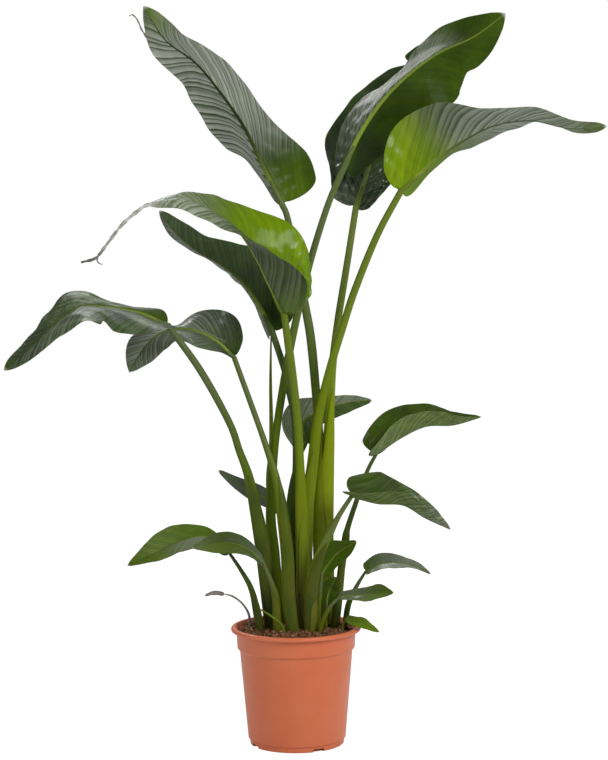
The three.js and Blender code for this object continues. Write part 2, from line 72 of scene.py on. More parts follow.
class Growth(Enum):
    """How yellow a stalk is at the soil and at the blade, how red at the first, how dull at the last."""

    PALE = (0.76, 0.66, 0.3, 0.50)
    BRIGHT = (0.58, 0.38, 0.7, 0.20)
    FRESH = (0.40, 0.30, 0.3, 0.55)
    MATURE = (0.22, 0.16, 0.2, 0.55)
    DARK = (0.08, 0.04, 0.1, 0.30)


def unit(vectors: np.ndarray) -> np.ndarray:
    """The vectors of the last axis at length one."""
    return vectors / np.maximum(np.linalg.norm(vectors, axis=-1, keepdims=True), 1e-12)


def lengths_to(points: np.ndarray) -> np.ndarray:
    """The length along a line of points at each of them."""
    return np.append(0, np.cumsum(np.linalg.norm(np.diff(points, axis=0), axis=1)))


def smooth(x: np.ndarray) -> np.ndarray:
    """A soft step from 0 to 1 while x goes from 0 to 1."""
    held = np.clip(x, 0, 1)
    return held * held * (3 - 2 * held)


class Spline:
    """A smooth line through points, the one that the solids follow too."""

    SAMPLES = 600
    STEP = 0.002

    def __init__(self, points: Rows) -> None:
        """Prepares the line.

        Args:
            points: The points that it passes through, each with any number of coordinates.
        """
        knots = np.array(points, float)
        self.spans = len(knots) - 1
        self.knots = np.vstack([2 * knots[0] - knots[1], knots, 2 * knots[-1] - knots[-2]])
        self.shares = np.linspace(0, 1, self.SAMPLES)
        self.reached = lengths_to(self.at(self.shares))
        self.length = float(self.reached[-1])

    def at(self, u: np.ndarray) -> np.ndarray:
        """The points at the shares u of the spans.

        Args:
            u: Shares from 0 to 1.

        Returns:
            One row of coordinates for each share.
        """
        place = np.clip(np.asarray(u, float), 0, 1) * self.spans
        first = np.minimum(place.astype(int), self.spans - 1)
        w = (place - first)[:, None]
        a, b, c, d = (self.knots[first + k] for k in range(4))
        start, end = (c - a) / 2, (d - b) / 2
        cubed, squared = 2 * b - 2 * c + start + end, -3 * b + 3 * c - 2 * start - end
        return cubed * w**3 + squared * w**2 + start * w + b

    def even(self, t: np.ndarray) -> np.ndarray:
        """The shares of the spans at even shares t of the length."""
        return np.interp(np.asarray(t) * self.length, self.reached, self.shares)

    def direction(self, u: np.ndarray) -> np.ndarray:
        """The unit directions at the shares u of the spans."""
        low, high = np.clip(u - self.STEP, 0, 1), np.clip(u + self.STEP, 0, 1)
        return unit(self.at(high) - self.at(low))


def eased(values: Values, t: np.ndarray) -> np.ndarray:
    """The smooth values at shares t of a list that holds values at even steps."""
    if len(values) == 1:
        return np.full(np.shape(t), float(values[0]))
    return Spline([[value] for value in values]).at(t)[:, 0]


def held_column(values: Values, t: np.ndarray) -> np.ndarray:
    """The values at shares t, held between 0 and 1, as one column."""
    return np.clip(eased(values, t), 0, 1)[:, None]


@dataclass(eq=False)
class Wire:
    """An output socket that arithmetic can be written with."""

    nodes: "Nodes"
    socket: bpy.types.NodeSocket

    def __add__(self, other: "Wire | float") -> "Wire":
        """The sum with a wire or a number."""
        return self.nodes.math("ADD", self, other)

    __radd__ = __add__

    def __sub__(self, other: "Wire | float") -> "Wire":
        """The difference with a wire or a number."""
        return self.nodes.math("SUBTRACT", self, other)

    def __rsub__(self, other: "Wire | float") -> "Wire":
        """The difference from a number."""
        return self.nodes.math("SUBTRACT", other, self)

    def __mul__(self, other: "Wire | float") -> "Wire":
        """The product with a wire or a number."""
        return self.nodes.math("MULTIPLY", self, other)

    __rmul__ = __mul__

    def __pow__(self, other: float) -> "Wire":
        """The power with a number."""
        return self.nodes.math("POWER", self, other)

    def step(self, low: float, high: float) -> "Wire":
        """A soft step that starts at low and is full at high, which may lie below it."""
        sockets = {"Value": self, "From Min": low, "From Max": high}
        return self.nodes.wire("ShaderNodeMapRange", {"interpolation_type": "SMOOTHSTEP"}, sockets)


@dataclass
class Nodes:
    """Makes and links the nodes of one material or of the sky."""

    owner: bpy.types.ID

    def __post_init__(self) -> None:
        """Empties the owner's tree."""
        self.owner.use_nodes = True
        self.tree = self.owner.node_tree
        self.tree.nodes.clear()

    def add(self, kind: str, settings: dict, sockets: dict) -> bpy.types.Node:
        """Adds a node.

        Args:
            kind: The node's type.
            settings: Its own settings, which are set first.
            sockets: Values or wires by the socket's name or number.

        Returns:
            The node.
        """
        node = self.tree.nodes.new(kind)
        for name, value in settings.items():
            setattr(node, name, value)
        for name, value in sockets.items():
            if isinstance(value, Wire):
                self.tree.links.new(value.socket, node.inputs[name])
            else:
                node.inputs[name].default_value = value
        return node

    def wire(self, kind: str, settings: dict, sockets: dict, output: str | int = 0) -> Wire:
        """Adds a node and returns the output with that name or number."""
        return Wire(self, self.add(kind, settings, sockets).outputs[output])

    def math(self, operation: str, a: Wire | float, b: Wire | float = 0.0) -> Wire:
        """The result of an operation on one or two numbers."""
        return self.wire("ShaderNodeMath", {"operation": operation}, {0: a, 1: b})

    def attribute(self, name: str) -> Wire:
        """A number that the mesh holds at each point."""
        return self.wire("ShaderNodeAttribute", {"attribute_name": name}, {}, "Fac")

    def place(self) -> Wire:
        """The position on the object, in metres."""
        return self.wire("ShaderNodeTexCoord", {}, {}, "Object")

    def level(self) -> Wire:
        """The height on the object, in metres."""
        return self.wire("ShaderNodeSeparateXYZ", {}, {0: self.place()}, "Z")

    def seen(self) -> Wire:
        """One where the camera looks straight at it, and zero for its light on other things."""
        return self.wire("ShaderNodeLightPath", {}, {}, "Is Camera Ray")

    def vector(self, x: Wire | float, y: Wire | float, z: Wire | float) -> Wire:
        """Three numbers as one vector."""
        return self.wire("ShaderNodeCombineXYZ", {}, {0: x, 1: y, 2: z})

    def noise(self, where: Wire, scale: float, detail: float = 2.0, rough: float = 0.5) -> Wire:
        """Soft noise from 0 to 1, with repeats per unit, finer layers and their strength."""
        sockets = {"Vector": where, "Scale": scale, "Detail": detail, "Roughness": rough}
        return self.wire("ShaderNodeTexNoise", {}, sockets, "Fac")

    def mix(self, share: Wire | float, a: Wire | Colour, b: Wire | Colour) -> Wire:
        """A colour, with that share of a second one mixed in."""
        settings = {"data_type": "RGBA", "clamp_factor": True}
        return self.wire("ShaderNodeMix", settings, {0: share, 6: a, 7: b}, 2)

    def bump(self, height: Wire, depth: float, strength: float = 1.0) -> Wire:
        """The normal of a relief, whose full height is the depth, in metres."""
        sockets = {"Height": height, "Distance": depth, "Strength": strength}
        return self.wire("ShaderNodeBump", {}, sockets)

    def finish(self, skin: dict, glow: tuple[Wire, Colour] | None = None) -> bpy.types.Material:
        """Ends the tree in a Principled shader, through which light may shine.

        Args:
            skin: Values or wires of the Principled shader's sockets.
            glow: The share and colour of the light that shines through, or None.

        Returns:
            The material.
        """
        shader = self.wire("ShaderNodeBsdfPrincipled", {}, skin)
        if glow:
            through = self.wire("ShaderNodeBsdfTranslucent", {}, {"Color": glow[1]})
            shader = self.wire("ShaderNodeMixShader", {}, {0: glow[0], 1: shader, 2: through})
        self.add("ShaderNodeOutputMaterial", {}, {"Surface": shader})
        return self.owner


@dataclass(frozen=True)
class LeafSkin:
    """Waxy leaf skin, dark and in places glossy above, grey beneath between slanting veins.

    Part of the grey is a painted sheen of reflected light, the pleats carry painted light and shade on
    their flanks, and part of the yellow-green is a painted glow of light shining through the leaf.
    """

    deep: Colour = (0.007, 0.019, 0.001, 1)
    lively: Colour = (0.026, 0.062, 0.001, 1)
    beneath: Colour = (0.009, 0.024, 0.002, 1)
    beneath_lively: Colour = (0.024, 0.056, 0.003, 1)
    # Grey of the waxy bloom, also laid on either face as a painted sheen of reflected light
    bloom_and_sheen_grey: Colour = (0.450, 0.480, 0.410, 1)
    # Painted shade on the flank of each pleat before the next vein
    valley_shade: Colour = (0.034, 0.054, 0.016, 1)
    # Yellow-green: partly the leaf's own, partly a painted glow of light shining through, dim and lit
    lime_glow: Colour = (0.150, 0.275, 0.001, 1)
    bright: Colour = (0.400, 0.530, 0.003, 1)
    rib_dark: Colour = (0.020, 0.034, 0.006, 1)
    rib_light: Colour = (0.300, 0.400, 0.050, 1)
    margin: Colour = (0.150, 0.190, 0.040, 1)
    dry: Colour = (0.460, 0.450, 0.400, 1)
    shine_through: Colour = (0.330, 0.600, 0.006, 1)
    patch_scale: float = 17
    grain_scale: float = 420
    fine_lines: int = 6
    margin_width: tuple[float, float] = (0.0009, 0.0004)
    relief: float = 0.0007

    def material(self) -> bpy.types.Material:
        """Makes the material."""
        n = Nodes(bpy.data.materials.new("leaf_skin"))
        here = n.place()
        under, lime_glow, wax, dry = map(n.attribute, ("underside", "lime_glow", "wax", "dry"))
        rib, vein, margin, fold = map(n.attribute, ("rib", "vein", "margin", "fold"))
        patches = n.noise(here, self.patch_scale, 3).step(0.30, 0.70)
        streak = n.noise(n.vector(vein, margin * 9, 0.0), 1.6, 3, 0.6)
        grain = n.noise(here, self.grain_scale, 2)
        # Painted light on each pleat's flank past a vein, painted shade on the flank before the next
        past_vein = n.math("FRACT", vein)
        ridge_highlight = fold * past_vein.step(0.90, 0.06)
        valley_shade = fold * past_vein.step(0.55, 1.0)
        thin = n.math("SINE", vein * (self.fine_lines * math.tau)) * 0.5 + 0.5
        crease = (1 - n.math("ABSOLUTE", n.math("SINE", vein * math.pi))).step(0.80, 0.99)

        above = n.mix(patches, self.deep, self.lively)
        below = n.mix(patches, self.beneath, self.beneath_lively)
        skin = n.mix(under, above, below)
        # Painted highlight on those lit flanks, then painted shade on the shaded ones
        skin = n.mix(ridge_highlight * (1 - wax) * 0.20, skin, self.beneath_lively)
        skin = n.mix(wax * valley_shade * 0.5, skin, self.valley_shade)
        # Painted sheen: the grey of the bloom and of reflected light, lighter on the pleats' lit flanks
        bloom_and_sheen_share = 0.08 + 0.64 * ridge_highlight + 0.46 * streak + 0.08 * thin - 0.30 * valley_shade
        skin = n.mix(wax * bloom_and_sheen_share, skin, self.bloom_and_sheen_grey)
        # Painted glow of light shining through the leaf, lit more brightly along the streaks
        lit = n.mix(streak.step(0.30, 0.75) * 0.55, self.lime_glow, self.bright)
        skin = n.mix(lime_glow, skin, lit)
        skin = n.mix(crease * 0.08 + (thin**4) * 0.02, skin, self.margin)
        rib_colour = n.mix(n.attribute("rib_tone"), self.rib_dark, self.rib_light)
        skin = n.mix(rib.step(0.75, 0.50), skin, rib_colour)
        skin = n.mix(margin.step(*self.margin_width) * 0.6, skin, self.margin)
        finish = {
            "Base Color": n.mix(dry, skin, self.dry),
            "Roughness": 0.34 + 0.14 * under + 0.10 * grain + 0.15 * dry,
            "IOR": 1.30,
            "Specular IOR Level": 0.14,
            "Coat Weight": n.attribute("gloss"),
            "Coat Roughness": 0.20,
            "Normal": n.bump(ridge_highlight * 0.4 + thin * 0.3 + grain * 0.2, self.relief, 0.9),
        }
        return n.finish(finish, (0.02 + 0.34 * lime_glow, self.shine_through))


@dataclass(frozen=True)
class StalkSkin:
    """Smooth stalk skin with fine lengthwise streaks, yellower and redder near the soil."""

    green: Colour = (0.010, 0.032, 0.002, 1)
    olive: Colour = (0.034, 0.076, 0.002, 1)
    yellow: Colour = (0.280, 0.370, 0.002, 1)
    red: Colour = (0.130, 0.050, 0.012, 1)
    wax: Colour = (0.125, 0.150, 0.070, 1)
    brown: Colour = (0.110, 0.045, 0.015, 1)
    shine_through: Colour = (0.350, 0.550, 0.040, 1)
    streak_scale: tuple[float, float] = (900, 7)
    cloud_scale: tuple[float, float] = (60, 14)
    speck_scale: float = 260
    relief: float = 0.0004

    def material(self) -> bpy.types.Material:
        """Makes the material."""
        n = Nodes(bpy.data.materials.new("stalk_skin"))
        x, y, along, yellow = map(n.attribute, ("round_x", "round_y", "along", "yellow"))
        across, up = self.streak_scale
        streaks = n.noise(n.vector(x * across, y * across, along * up), 1, 3, 0.6)
        across, up = self.cloud_scale
        clouds = n.noise(n.vector(x * across, y * across, along * up), 1, 2)
        specks = n.noise(n.place(), self.speck_scale, 1).step(0.70, 0.78)

        skin = n.mix(clouds.step(0.3, 0.7), self.green, self.olive)
        skin = n.mix(yellow, skin, self.yellow)
        skin = n.mix(streaks.step(0.45, 0.75) * 0.14, skin, self.olive)
        skin = n.mix(streaks.step(0.50, 0.30) * 0.12, skin, self.yellow)
        mottled = clouds.step(0.25, 0.60) * (0.45 + 0.55 * streaks.step(0.35, 0.60))
        skin = n.mix(n.attribute("red") * mottled, skin, self.red)
        skin = n.mix(specks * 0.14, skin, self.brown)
        skin = n.mix(n.attribute("wax"), skin, self.wax)
        finish = {
            "Base Color": n.mix(n.attribute("brown"), skin, self.brown),
            "Roughness": 0.40 + 0.16 * streaks,
            "IOR": 1.33,
            "Specular IOR Level": 0.12,
            "Coat Weight": 0.12,
            "Coat Roughness": 0.22,
            "Normal": n.bump(streaks * 0.8 + specks * 0.2, self.relief, 0.6),
        }
        return n.finish(finish, (0.05 + 0.12 * yellow, self.shine_through))


@dataclass(frozen=True)
class DrySkin:
    """Withered, papery leaf."""

    pale: Colour = (0.520, 0.510, 0.480, 1)
    dark: Colour = (0.240, 0.220, 0.180, 1)
    darkest: Colour = (0.070, 0.060, 0.050, 1)
    fibre_scale: float = 340
    patch_scale: float = 70
    relief: float = 0.0005

    def material(self) -> bpy.types.Material:
        """Makes the material."""
        n = Nodes(bpy.data.materials.new("dry_skin"))
        here = n.place()
        fibres = n.noise(here, self.fibre_scale, 3, 0.7)
        colour = n.mix(n.noise(here, self.patch_scale, 2).step(0.35, 0.7), self.pale, self.dark)
        colour = n.mix(fibres.step(0.6, 0.8) * 0.5, colour, self.dark)
        colour = n.mix(n.attribute("rot"), colour, self.darkest)
        normal = n.bump(fibres, self.relief, 0.8)
        return n.finish({"Base Color": colour, "Roughness": 0.8, "Normal": normal})


@dataclass(frozen=True)
class PotPlastic:
    """Moulded terracotta-coloured plastic, faintly scuffed and a little dusty at its foot."""

    body: Colour = (0.585, 0.132, 0.044, 1)
    faded: Colour = (0.610, 0.155, 0.060, 1)
    scuffed: Colour = (0.680, 0.330, 0.230, 1)
    dusty: Colour = (0.260, 0.120, 0.070, 1)
    cloud_scale: float = 9
    scuff_scale: float = 55
    splash_scale: float = 130
    pit_scale: float = 900
    dust_reach: tuple[float, float] = (0.030, 0.004)
    relief: float = 0.00012

    def material(self) -> bpy.types.Material:
        """Makes the material."""
        n = Nodes(bpy.data.materials.new("pot_plastic"))
        here = n.place()
        clouds = n.noise(here, self.cloud_scale, 2).step(0.3, 0.7)
        pits = n.noise(here, self.pit_scale, 2)
        rubbed = n.noise(here, self.scuff_scale, 4, 0.7).step(0.66, 0.80)
        splash = n.noise(here, self.splash_scale, 3, 0.6).step(0.52, 0.75)
        low = n.level().step(*self.dust_reach) * splash
        colour = n.mix(clouds, self.body, self.faded)
        colour = n.mix(rubbed * 0.22, colour, self.scuffed)
        finish = {
            "Base Color": n.mix(low * 0.5, colour, self.dusty),
            "Roughness": 0.46 + 0.14 * pits + 0.10 * rubbed,
            "IOR": 1.38,
            "Coat Weight": 0.35,
            "Coat Roughness": 0.26,
            "Normal": n.bump(pits, self.relief, 0.5),
        }
        return n.finish(finish)


@dataclass(frozen=True)
class SoilCrumb:
    """Brown peaty soil with paler fibres and bits of bark."""

    dark: Colour = (0.012, 0.006, 0.003, 1)
    brown: Colour = (0.260, 0.115, 0.050, 1)
    pale: Colour = (0.440, 0.250, 0.140, 1)
    lump_scale: float = 105
    grain_scale: float = 900
    relief: float = 0.0015

    def material(self) -> bpy.types.Material:
        """Makes the material."""
        n = Nodes(bpy.data.materials.new("soil_crumb"))
        here = n.place()
        lumps = n.noise(here, self.lump_scale, 4, 0.75)
        grains = n.noise(here, self.grain_scale, 2, 0.6)
        colour = n.mix(lumps.step(0.35, 0.65), self.dark, self.brown)
        colour = n.mix(grains.step(0.60, 0.75) * 0.6, colour, self.pale)
        colour = n.mix(n.attribute("paleness"), colour, self.pale)
        normal = n.bump(lumps * 0.5 + grains * 0.5, self.relief)
        matte = {"Roughness": 0.95, "Specular IOR Level": 0.12}
        return n.finish({"Base Color": colour, "Normal": normal, **matte})


@dataclass(frozen=True)
class StudioPaper:
    """The plain pale floor of the studio, lit so that it runs into the white behind it."""

    white: Colour = (0.80, 0.80, 0.80, 1)
    seen_white: Colour = (0.22, 0.22, 0.22, 1)
    lift: float = 0.94

    def material(self) -> bpy.types.Material:
        """Makes the material."""
        n = Nodes(bpy.data.materials.new("studio_paper"))
        seen = n.seen()
        colour = n.mix(seen, self.white, self.seen_white)
        paper = n.wire("ShaderNodeBsdfDiffuse", {}, {"Color": colour})
        glow = n.wire("ShaderNodeEmission", {}, {"Color": (1, 1, 1, 1), "Strength": seen * self.lift})
        both = n.wire("ShaderNodeAddShader", {}, {0: paper, 1: glow})
        n.add("ShaderNodeOutputMaterial", {}, {"Surface": both})
        return n.owner


def turns(count: int) -> np.ndarray:
    """Even angles round a full turn."""
    return np.arange(count) * math.tau / count


def axes(along: np.ndarray) -> tuple[np.ndarray, np.ndarray]:
    """The directions across each direction of a line: the wide one near x, and the deep one."""
    wide = unit(np.array([1.0, 0.0, 0.0]) - along * along[:, :1])
    return wide, np.cross(along, wide)


def spokes(wide: np.ndarray, deep: np.ndarray, x: np.ndarray, y: np.ndarray) -> np.ndarray:
    """The ways from each ring's middle that are x wide and y deep."""
    return x[..., None] * wide[:, None] + y[..., None] * deep[:, None]


def there_and_back(face: np.ndarray, other: np.ndarray | None = None) -> np.ndarray:
    """The columns of a face, and then those of the other face, or its own, backwards."""
    return np.concatenate([face, (face if other is None else other)[:, ::-1]], axis=1)


def stalk_places(reached: np.ndarray, x: np.ndarray, y: np.ndarray) -> dict[str, np.ndarray]:
    """The places along and round a stalk that its skin's streaks follow, in metres."""
    return {"along": reached[:, None] * MM, "round_x": x * MM, "round_y": y * MM}


def closed_skin(rings: np.ndarray, values: dict[str, np.ndarray | float]) -> bmesh.types.BMesh:
    """A grid rolled into a tube, fitted to rings of points and closed at both ends.

    Args:
        rings: Points in millimetres, by ring, place round the ring and coordinate.
        values: The mesh's attributes, with one number, one for each ring or one for each point.

    Returns:
        The closed mesh in metres.
    """
    rows, sides = rings.shape[:2]
    bm = bmesh.new()
    bmesh.ops.create_grid(bm, x_segments=sides, y_segments=rows - 1, size=1)
    layers = [bm.verts.layers.float.new(name) for name in values]
    verts = sorted(bm.verts, key=lambda v: (round(v.co.y, 5), round(v.co.x, 5)))
    full_turn = np.append(np.arange(sides), 0)
    points = (rings[:, full_turn] * MM).reshape(-1, 3).tolist()
    columns = [
        np.broadcast_to(numbers, (rows, sides))[:, full_turn].ravel().tolist()
        for numbers in values.values()
    ]
    for vert, point, *numbers in zip(verts, points, *columns):
        vert.co = point
        for layer, number in zip(layers, numbers):
            vert[layer] = number
    seam = [verts[r * (sides + 1) + c] for r in range(rows) for c in (0, sides)]
    bmesh.ops.remove_doubles(bm, verts=seam, dist=WELD)
    bmesh.ops.holes_fill(bm, edges=[edge for edge in bm.edges if edge.is_boundary], sides=0)
    bmesh.ops.recalc_face_normals(bm, faces=bm.faces)
    return bm


def show(name: str, data: bpy.types.ID | bmesh.types.BMesh) -> bpy.types.Object:
    """Turns a light, a camera or a mesh into an object of the scene.

    Args:
        name: The object's name.
        data: What it shows. An open mesh is used up.

    Returns:
        The object.
    """
    if isinstance(data, bmesh.types.BMesh):
        mesh = bpy.data.meshes.new(name)
        data.to_mesh(mesh)
        data.free()
        data = mesh
    thing = bpy.data.objects.new(name, data)
    bpy.context.scene.collection.objects.link(thing)
    return thing


def add_piece(
    name: str, bm: bmesh.types.BMesh, finish: bpy.types.Material, slot: str, *replaced: str
) -> bpy.types.Object:
    """Turns a mesh into a shown piece that rides on the plant.

    Args:
        name: The piece's name.
        bm: Its mesh, which is used up.
        finish: Its material.
        slot: Not used.
        replaced: The solids that it stands for.

    Returns:
        The piece.
    """
    for face in bm.faces:
        face.smooth = True
    piece = show(name, bm)
    piece.data.materials.append(finish)
    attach(piece, BODY)
    if replaced:
        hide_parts(*replaced)
    log.info("%s: %d faces", name, len(piece.data.polygons))
    return piece


@dataclass
class Half:
    """One half of a blade, with values at even steps from base to tip.

    The half widths and the rise out of the flat, in degrees, are those of the solid. How yellow-green
    the half is, partly its own colour and partly a painted glow of light shining through it, how grey,
    partly its waxy bloom and partly a painted sheen of reflected light, and how glossy are given from
    0 to 1. The pleats are how strongly it is folded along its veins, which also sets the painted light
    and shade on their flanks, the slant how much these lean, and the crumple how deep its base is
    crumpled, in millimetres.
    """

    half: Values
    rise: Values
    lime_glow: Values = (0.0,)
    wax: Values = (0.3,)
    gloss: Values = (0.12,)
    pleats: float = 0.5
    slant: float = 1.3
    crumple: float = 0.0


def young_half(half: Values, rise: Values, lime_glow: Values, wax: Values) -> Half:
    """The half of a small leaf, which is shinier, well folded and a little crumpled."""
    return Half(half, rise, lime_glow, wax, (0.3,), 0.8, crumple=1)


@dataclass
class Leaf:
    """A leaf: its rib, its two halves and the rows of its stalk, as in the solids.

    The turn is how far the blade is rolled about its rib, in degrees. The vein is half as wide
    as the rib, the lobe how far the base reaches back and the wave how high the edge waves. The
    cut is a half, a place and a depth. Rot is how dark a withered leaf is.
    """

    name: str
    growth: Growth
    turn: Values
    vein: float
    lobe: float
    wave: float
    rib: Rows
    left: Half
    right: Half
    stalk: Rows
    cut: tuple[Side, float, float] | None = None
    rib_tone: Values = (0.5, 0.25)
    dry_tip: float = 0.02
    rot: float = 0.0


@dataclass
class Blade:
    """The fine blade of a leaf, with rows along its rib and columns out from it."""

    leaf: Leaf
    row_step: float = 2.0
    row_limits: tuple[int, int] = (24, 230)
    crowding: float = 0.55
    column_step: float = 4.0
    column_limits: tuple[int, int] = (5, 24)
    near_rib: tuple[float, ...] = (0.0, 0.28, 0.52, 0.76, 1.05, 1.45)
    near_edge: tuple[float, float] = (0.985, 1.0)
    veins_in_width: float = 5.6
    pitch_limits: tuple[float, float] = (3.5, 18)
    full_pitch: float = 14.0
    vein_bend: float = 0.85
    root_width: float = 1.5
    round_base: float = 0.07
    round_tip: float = 0.05
    curl: float = 9.0
    lobe_length: float = 0.2
    cut_length: float = 0.03
    half_thickness: tuple[float, float] = (0.42, 0.24)
    rib_depth: float = 0.65
    pleat_height: float = 0.8
    buckle_height: float = 1.5
    buckle_length: float = 78.0
    crumple_lengths: tuple[float, float] = (37.0, 59.0)
    crumple_reach: float = 0.22
    waves: tuple[float, float] = (2.5, 7.3)
    phases: tuple[float, float] = (0.1, 0.47)

    def __post_init__(self) -> None:
        """Works out the rows along the rib and the directions at each."""
        leaf = self.leaf
        spline = Spline(leaf.rib)
        self.length = spline.length
        share = np.linspace(0, 1, int(np.clip(self.length / self.row_step, *self.row_limits)))
        self.t = share - self.crowding * np.sin(math.tau * share) / math.tau
        u = spline.even(self.t)
        self.centre, self.along = spline.at(u), spline.direction(u)
        flat_left = unit(np.cross(self.along, [0.0, 1.0, 0.0]))
        front = np.cross(self.along, flat_left)
        turn = np.radians(eased(leaf.turn, self.t))[:, None]
        self.leftward = np.cos(turn) * flat_left + np.sin(turn) * front
        self.upward = np.cos(turn) * front - np.sin(turn) * flat_left
        widest = max(*leaf.left.half, *leaf.right.half)
        self.columns = int(np.clip(widest / self.column_step, *self.column_limits))
        self.pitch = float(np.clip(widest / self.veins_in_width, *self.pitch_limits))
        self.fold_size = min(self.pitch / self.full_pitch, 1)

    def rounded_ends(self) -> np.ndarray:
        """The share of its width that the blade has at each row, less at its round ends."""
        base = np.minimum(self.t / self.round_base, 1)
        tip = np.minimum((1 - self.t) / self.round_tip, 1)
        return np.sqrt(1 - (1 - base) ** 2) * np.sqrt(1 - (1 - tip) ** 2)

    def spread(self, side: Side, shape: Half) -> tuple[np.ndarray, np.ndarray, np.ndarray]:
        """How wide one half is, and where its columns stand.

        Args:
            side: Which half it is.
            shape: Its widths.

        Returns:
            By row, its width and the rib's half width, and by row and column the way from the rib.
        """
        leaf, t = self.leaf, self.t
        width = eased(shape.half, t) * self.rounded_ends()
        if leaf.cut and leaf.cut[0] is side:
            _, place, depth = leaf.cut
            width = width * (1 - depth * np.exp(-(((t - place) / self.cut_length) ** 2)))
        width = np.maximum(width, np.where(t == 0, leaf.vein, self.root_width))[:, None]
        vein = np.minimum((leaf.vein * (1 - t) + 1)[:, None], 0.3 * width)
        outer = np.append(np.linspace(0, 1, self.columns)[1:-1], self.near_edge)
        near, start = vein * np.array(self.near_rib), vein * self.near_rib[-1]
        return width, vein, np.append(near, start + (width - start) * outer, axis=1)

    def relief(
        self, side: Side, shape: Half, width: np.ndarray, part: np.ndarray
    ) -> tuple[np.ndarray, np.ndarray]:
        """The veins of one half, and how high its folds stand out of the smooth sheet.

        Args:
            side: Which half it is.
            shape: How it is folded and crumpled.
            width: Its width by row.
            part: The share of the width by row and column.

        Returns:
            Both by row and column: the veins counted from the base, and the height.
        """
        t = self.t[:, None]
        phase = self.phases[side is Side.RIGHT]
        reached, bell = t * self.length, np.sin(math.pi * t)
        long, short = self.waves
        wave = np.sin(math.tau * (long * t + phase)) * part**2
        ruffle = 0.3 * np.sin(math.tau * (short * t + 3 * phase)) * part**4
        veins = (reached - shape.slant * width * part**self.vein_bend) / self.pitch
        veins = veins + 0.26 * np.sin(1.9 * veins + 9 * phase) + 0.11 * np.sin(4.7 * veins)
        grown = smooth((part - 0.03) / 0.2) * (1 - 0.5 * part) * smooth(bell * 1.6) * smooth(width / 30)
        swell = np.abs(np.sin(math.pi * veins)) ** 0.8 - 0.6
        pleat = shape.pleats * self.pleat_height * swell * grown
        swings = reached / self.buckle_length + 0.8 * part + 3 * phase
        buckle = np.sin(math.tau * swings) * np.sin(math.tau * (1.9 * t + 0.6 * part + phase))
        buckle = self.buckle_height * buckle * smooth(part * 3) * bell
        short, long = (reached / length for length in self.crumple_lengths)
        crumple = np.sin(math.tau * (short + 1.3 * part))
        crumple = crumple * np.sin(math.tau * (long - 2.1 * part + phase))
        crumple = crumple * smooth(part * 2.5) * np.exp(-((t / self.crumple_reach) ** 2))
        waved = self.leaf.wave * bell * (wave + ruffle)
        return veins, waved + self.fold_size * (pleat + buckle) + shape.crumple * crumple

    def side(self, side: Side) -> dict[str, np.ndarray]:
        """The points and numbers of one half, from the rib outwards.

        Args:
            side: Which half it is.

        Returns:
            Arrays by row and column: the upper and lower points and the attributes.
        """
        leaf, t, sign = self.leaf, self.t[:, None], side.value
        shape = leaf.left if side is Side.LEFT else leaf.right
        width, vein, r = self.spread(side, shape)
        part = r / width
        veins, height = self.relief(side, shape, width, part)

        rise = np.radians(eased(shape.rise, self.t))[:, None]
        fold = smooth((r - 0.5 * vein) / (1.2 * vein))
        angle = fold * (rise - np.radians(self.curl) * 2 * (part - 0.5))
        middle, steps = (angle[:, 1:] + angle[:, :-1]) / 2, np.diff(r, axis=1)
        out, up = (
            np.append(np.zeros_like(t), np.cumsum(share(middle) * steps, axis=1), axis=1)[..., None]
            for share in (np.cos, np.sin)
        )
        back = leaf.lobe * self.rounded_ends()[:, None] * np.exp(-((t / self.lobe_length) ** 2))
        across, upward = self.leftward[:, None], self.upward[:, None]
        normal = np.cos(angle)[..., None] * upward - sign * np.sin(angle)[..., None] * across
        point = self.centre[:, None] + sign * out * across + up * upward + height[..., None] * normal
        point -= (back * part**1.5)[..., None] * self.along[:, None]
        inner, edge = self.half_thickness
        thin = inner + (edge - inner) * part
        depth = self.rib_depth * (leaf.vein * (1 - t) + 1)
        dome = depth * np.sqrt(np.clip(1 - (r / (0.78 * vein)) ** 2, 0, 1))
        groove = 0.28 * depth * np.exp(-((r / (0.40 * vein)) ** 2))
        # In these numbers the grey share is partly a painted sheen of reflected light.
        numbers = {
            # The yellow-green share is partly a painted glow of light shining through the leaf.
            **{name: held_column(getattr(shape, name), self.t) for name in ("lime_glow", "wax", "gloss")},
            # How strong the painted light and shade on the pleats' flanks are
            "fold": shape.pleats * smooth(2.5 * np.sin(math.pi * t)),
            "rib": r / vein,
            "rib_tone": held_column(leaf.rib_tone, self.t),
            "vein": veins,
            "margin": (width - r) * MM,
            "dry": smooth((t - 1 + leaf.dry_tip) / max(leaf.dry_tip, 0.01)),
            "rot": leaf.rot,
        }
        return {
            "upper": point + (thin - groove)[..., None] * normal,
            "lower": point - (thin + dome)[..., None] * normal,
            **{name: np.broadcast_to(number, r.shape) for name, number in numbers.items()},
        }

    def skin(self) -> bmesh.types.BMesh:
        """The closed blade: its upper face from left to right, and its lower face back."""
        left, right = self.side(Side.LEFT), self.side(Side.RIGHT)
        whole = {name: np.append(left[name][:, ::-1], right[name][:, 1:], axis=1) for name in left}
        upper, lower = whole.pop("upper"), whole.pop("lower")
        values = {name: there_and_back(numbers) for name, numbers in whole.items()}
        flat = np.zeros(upper.shape[:2])
        values["underside"] = there_and_back(flat, flat + 1)
        return closed_skin(there_and_back(upper, lower), values)


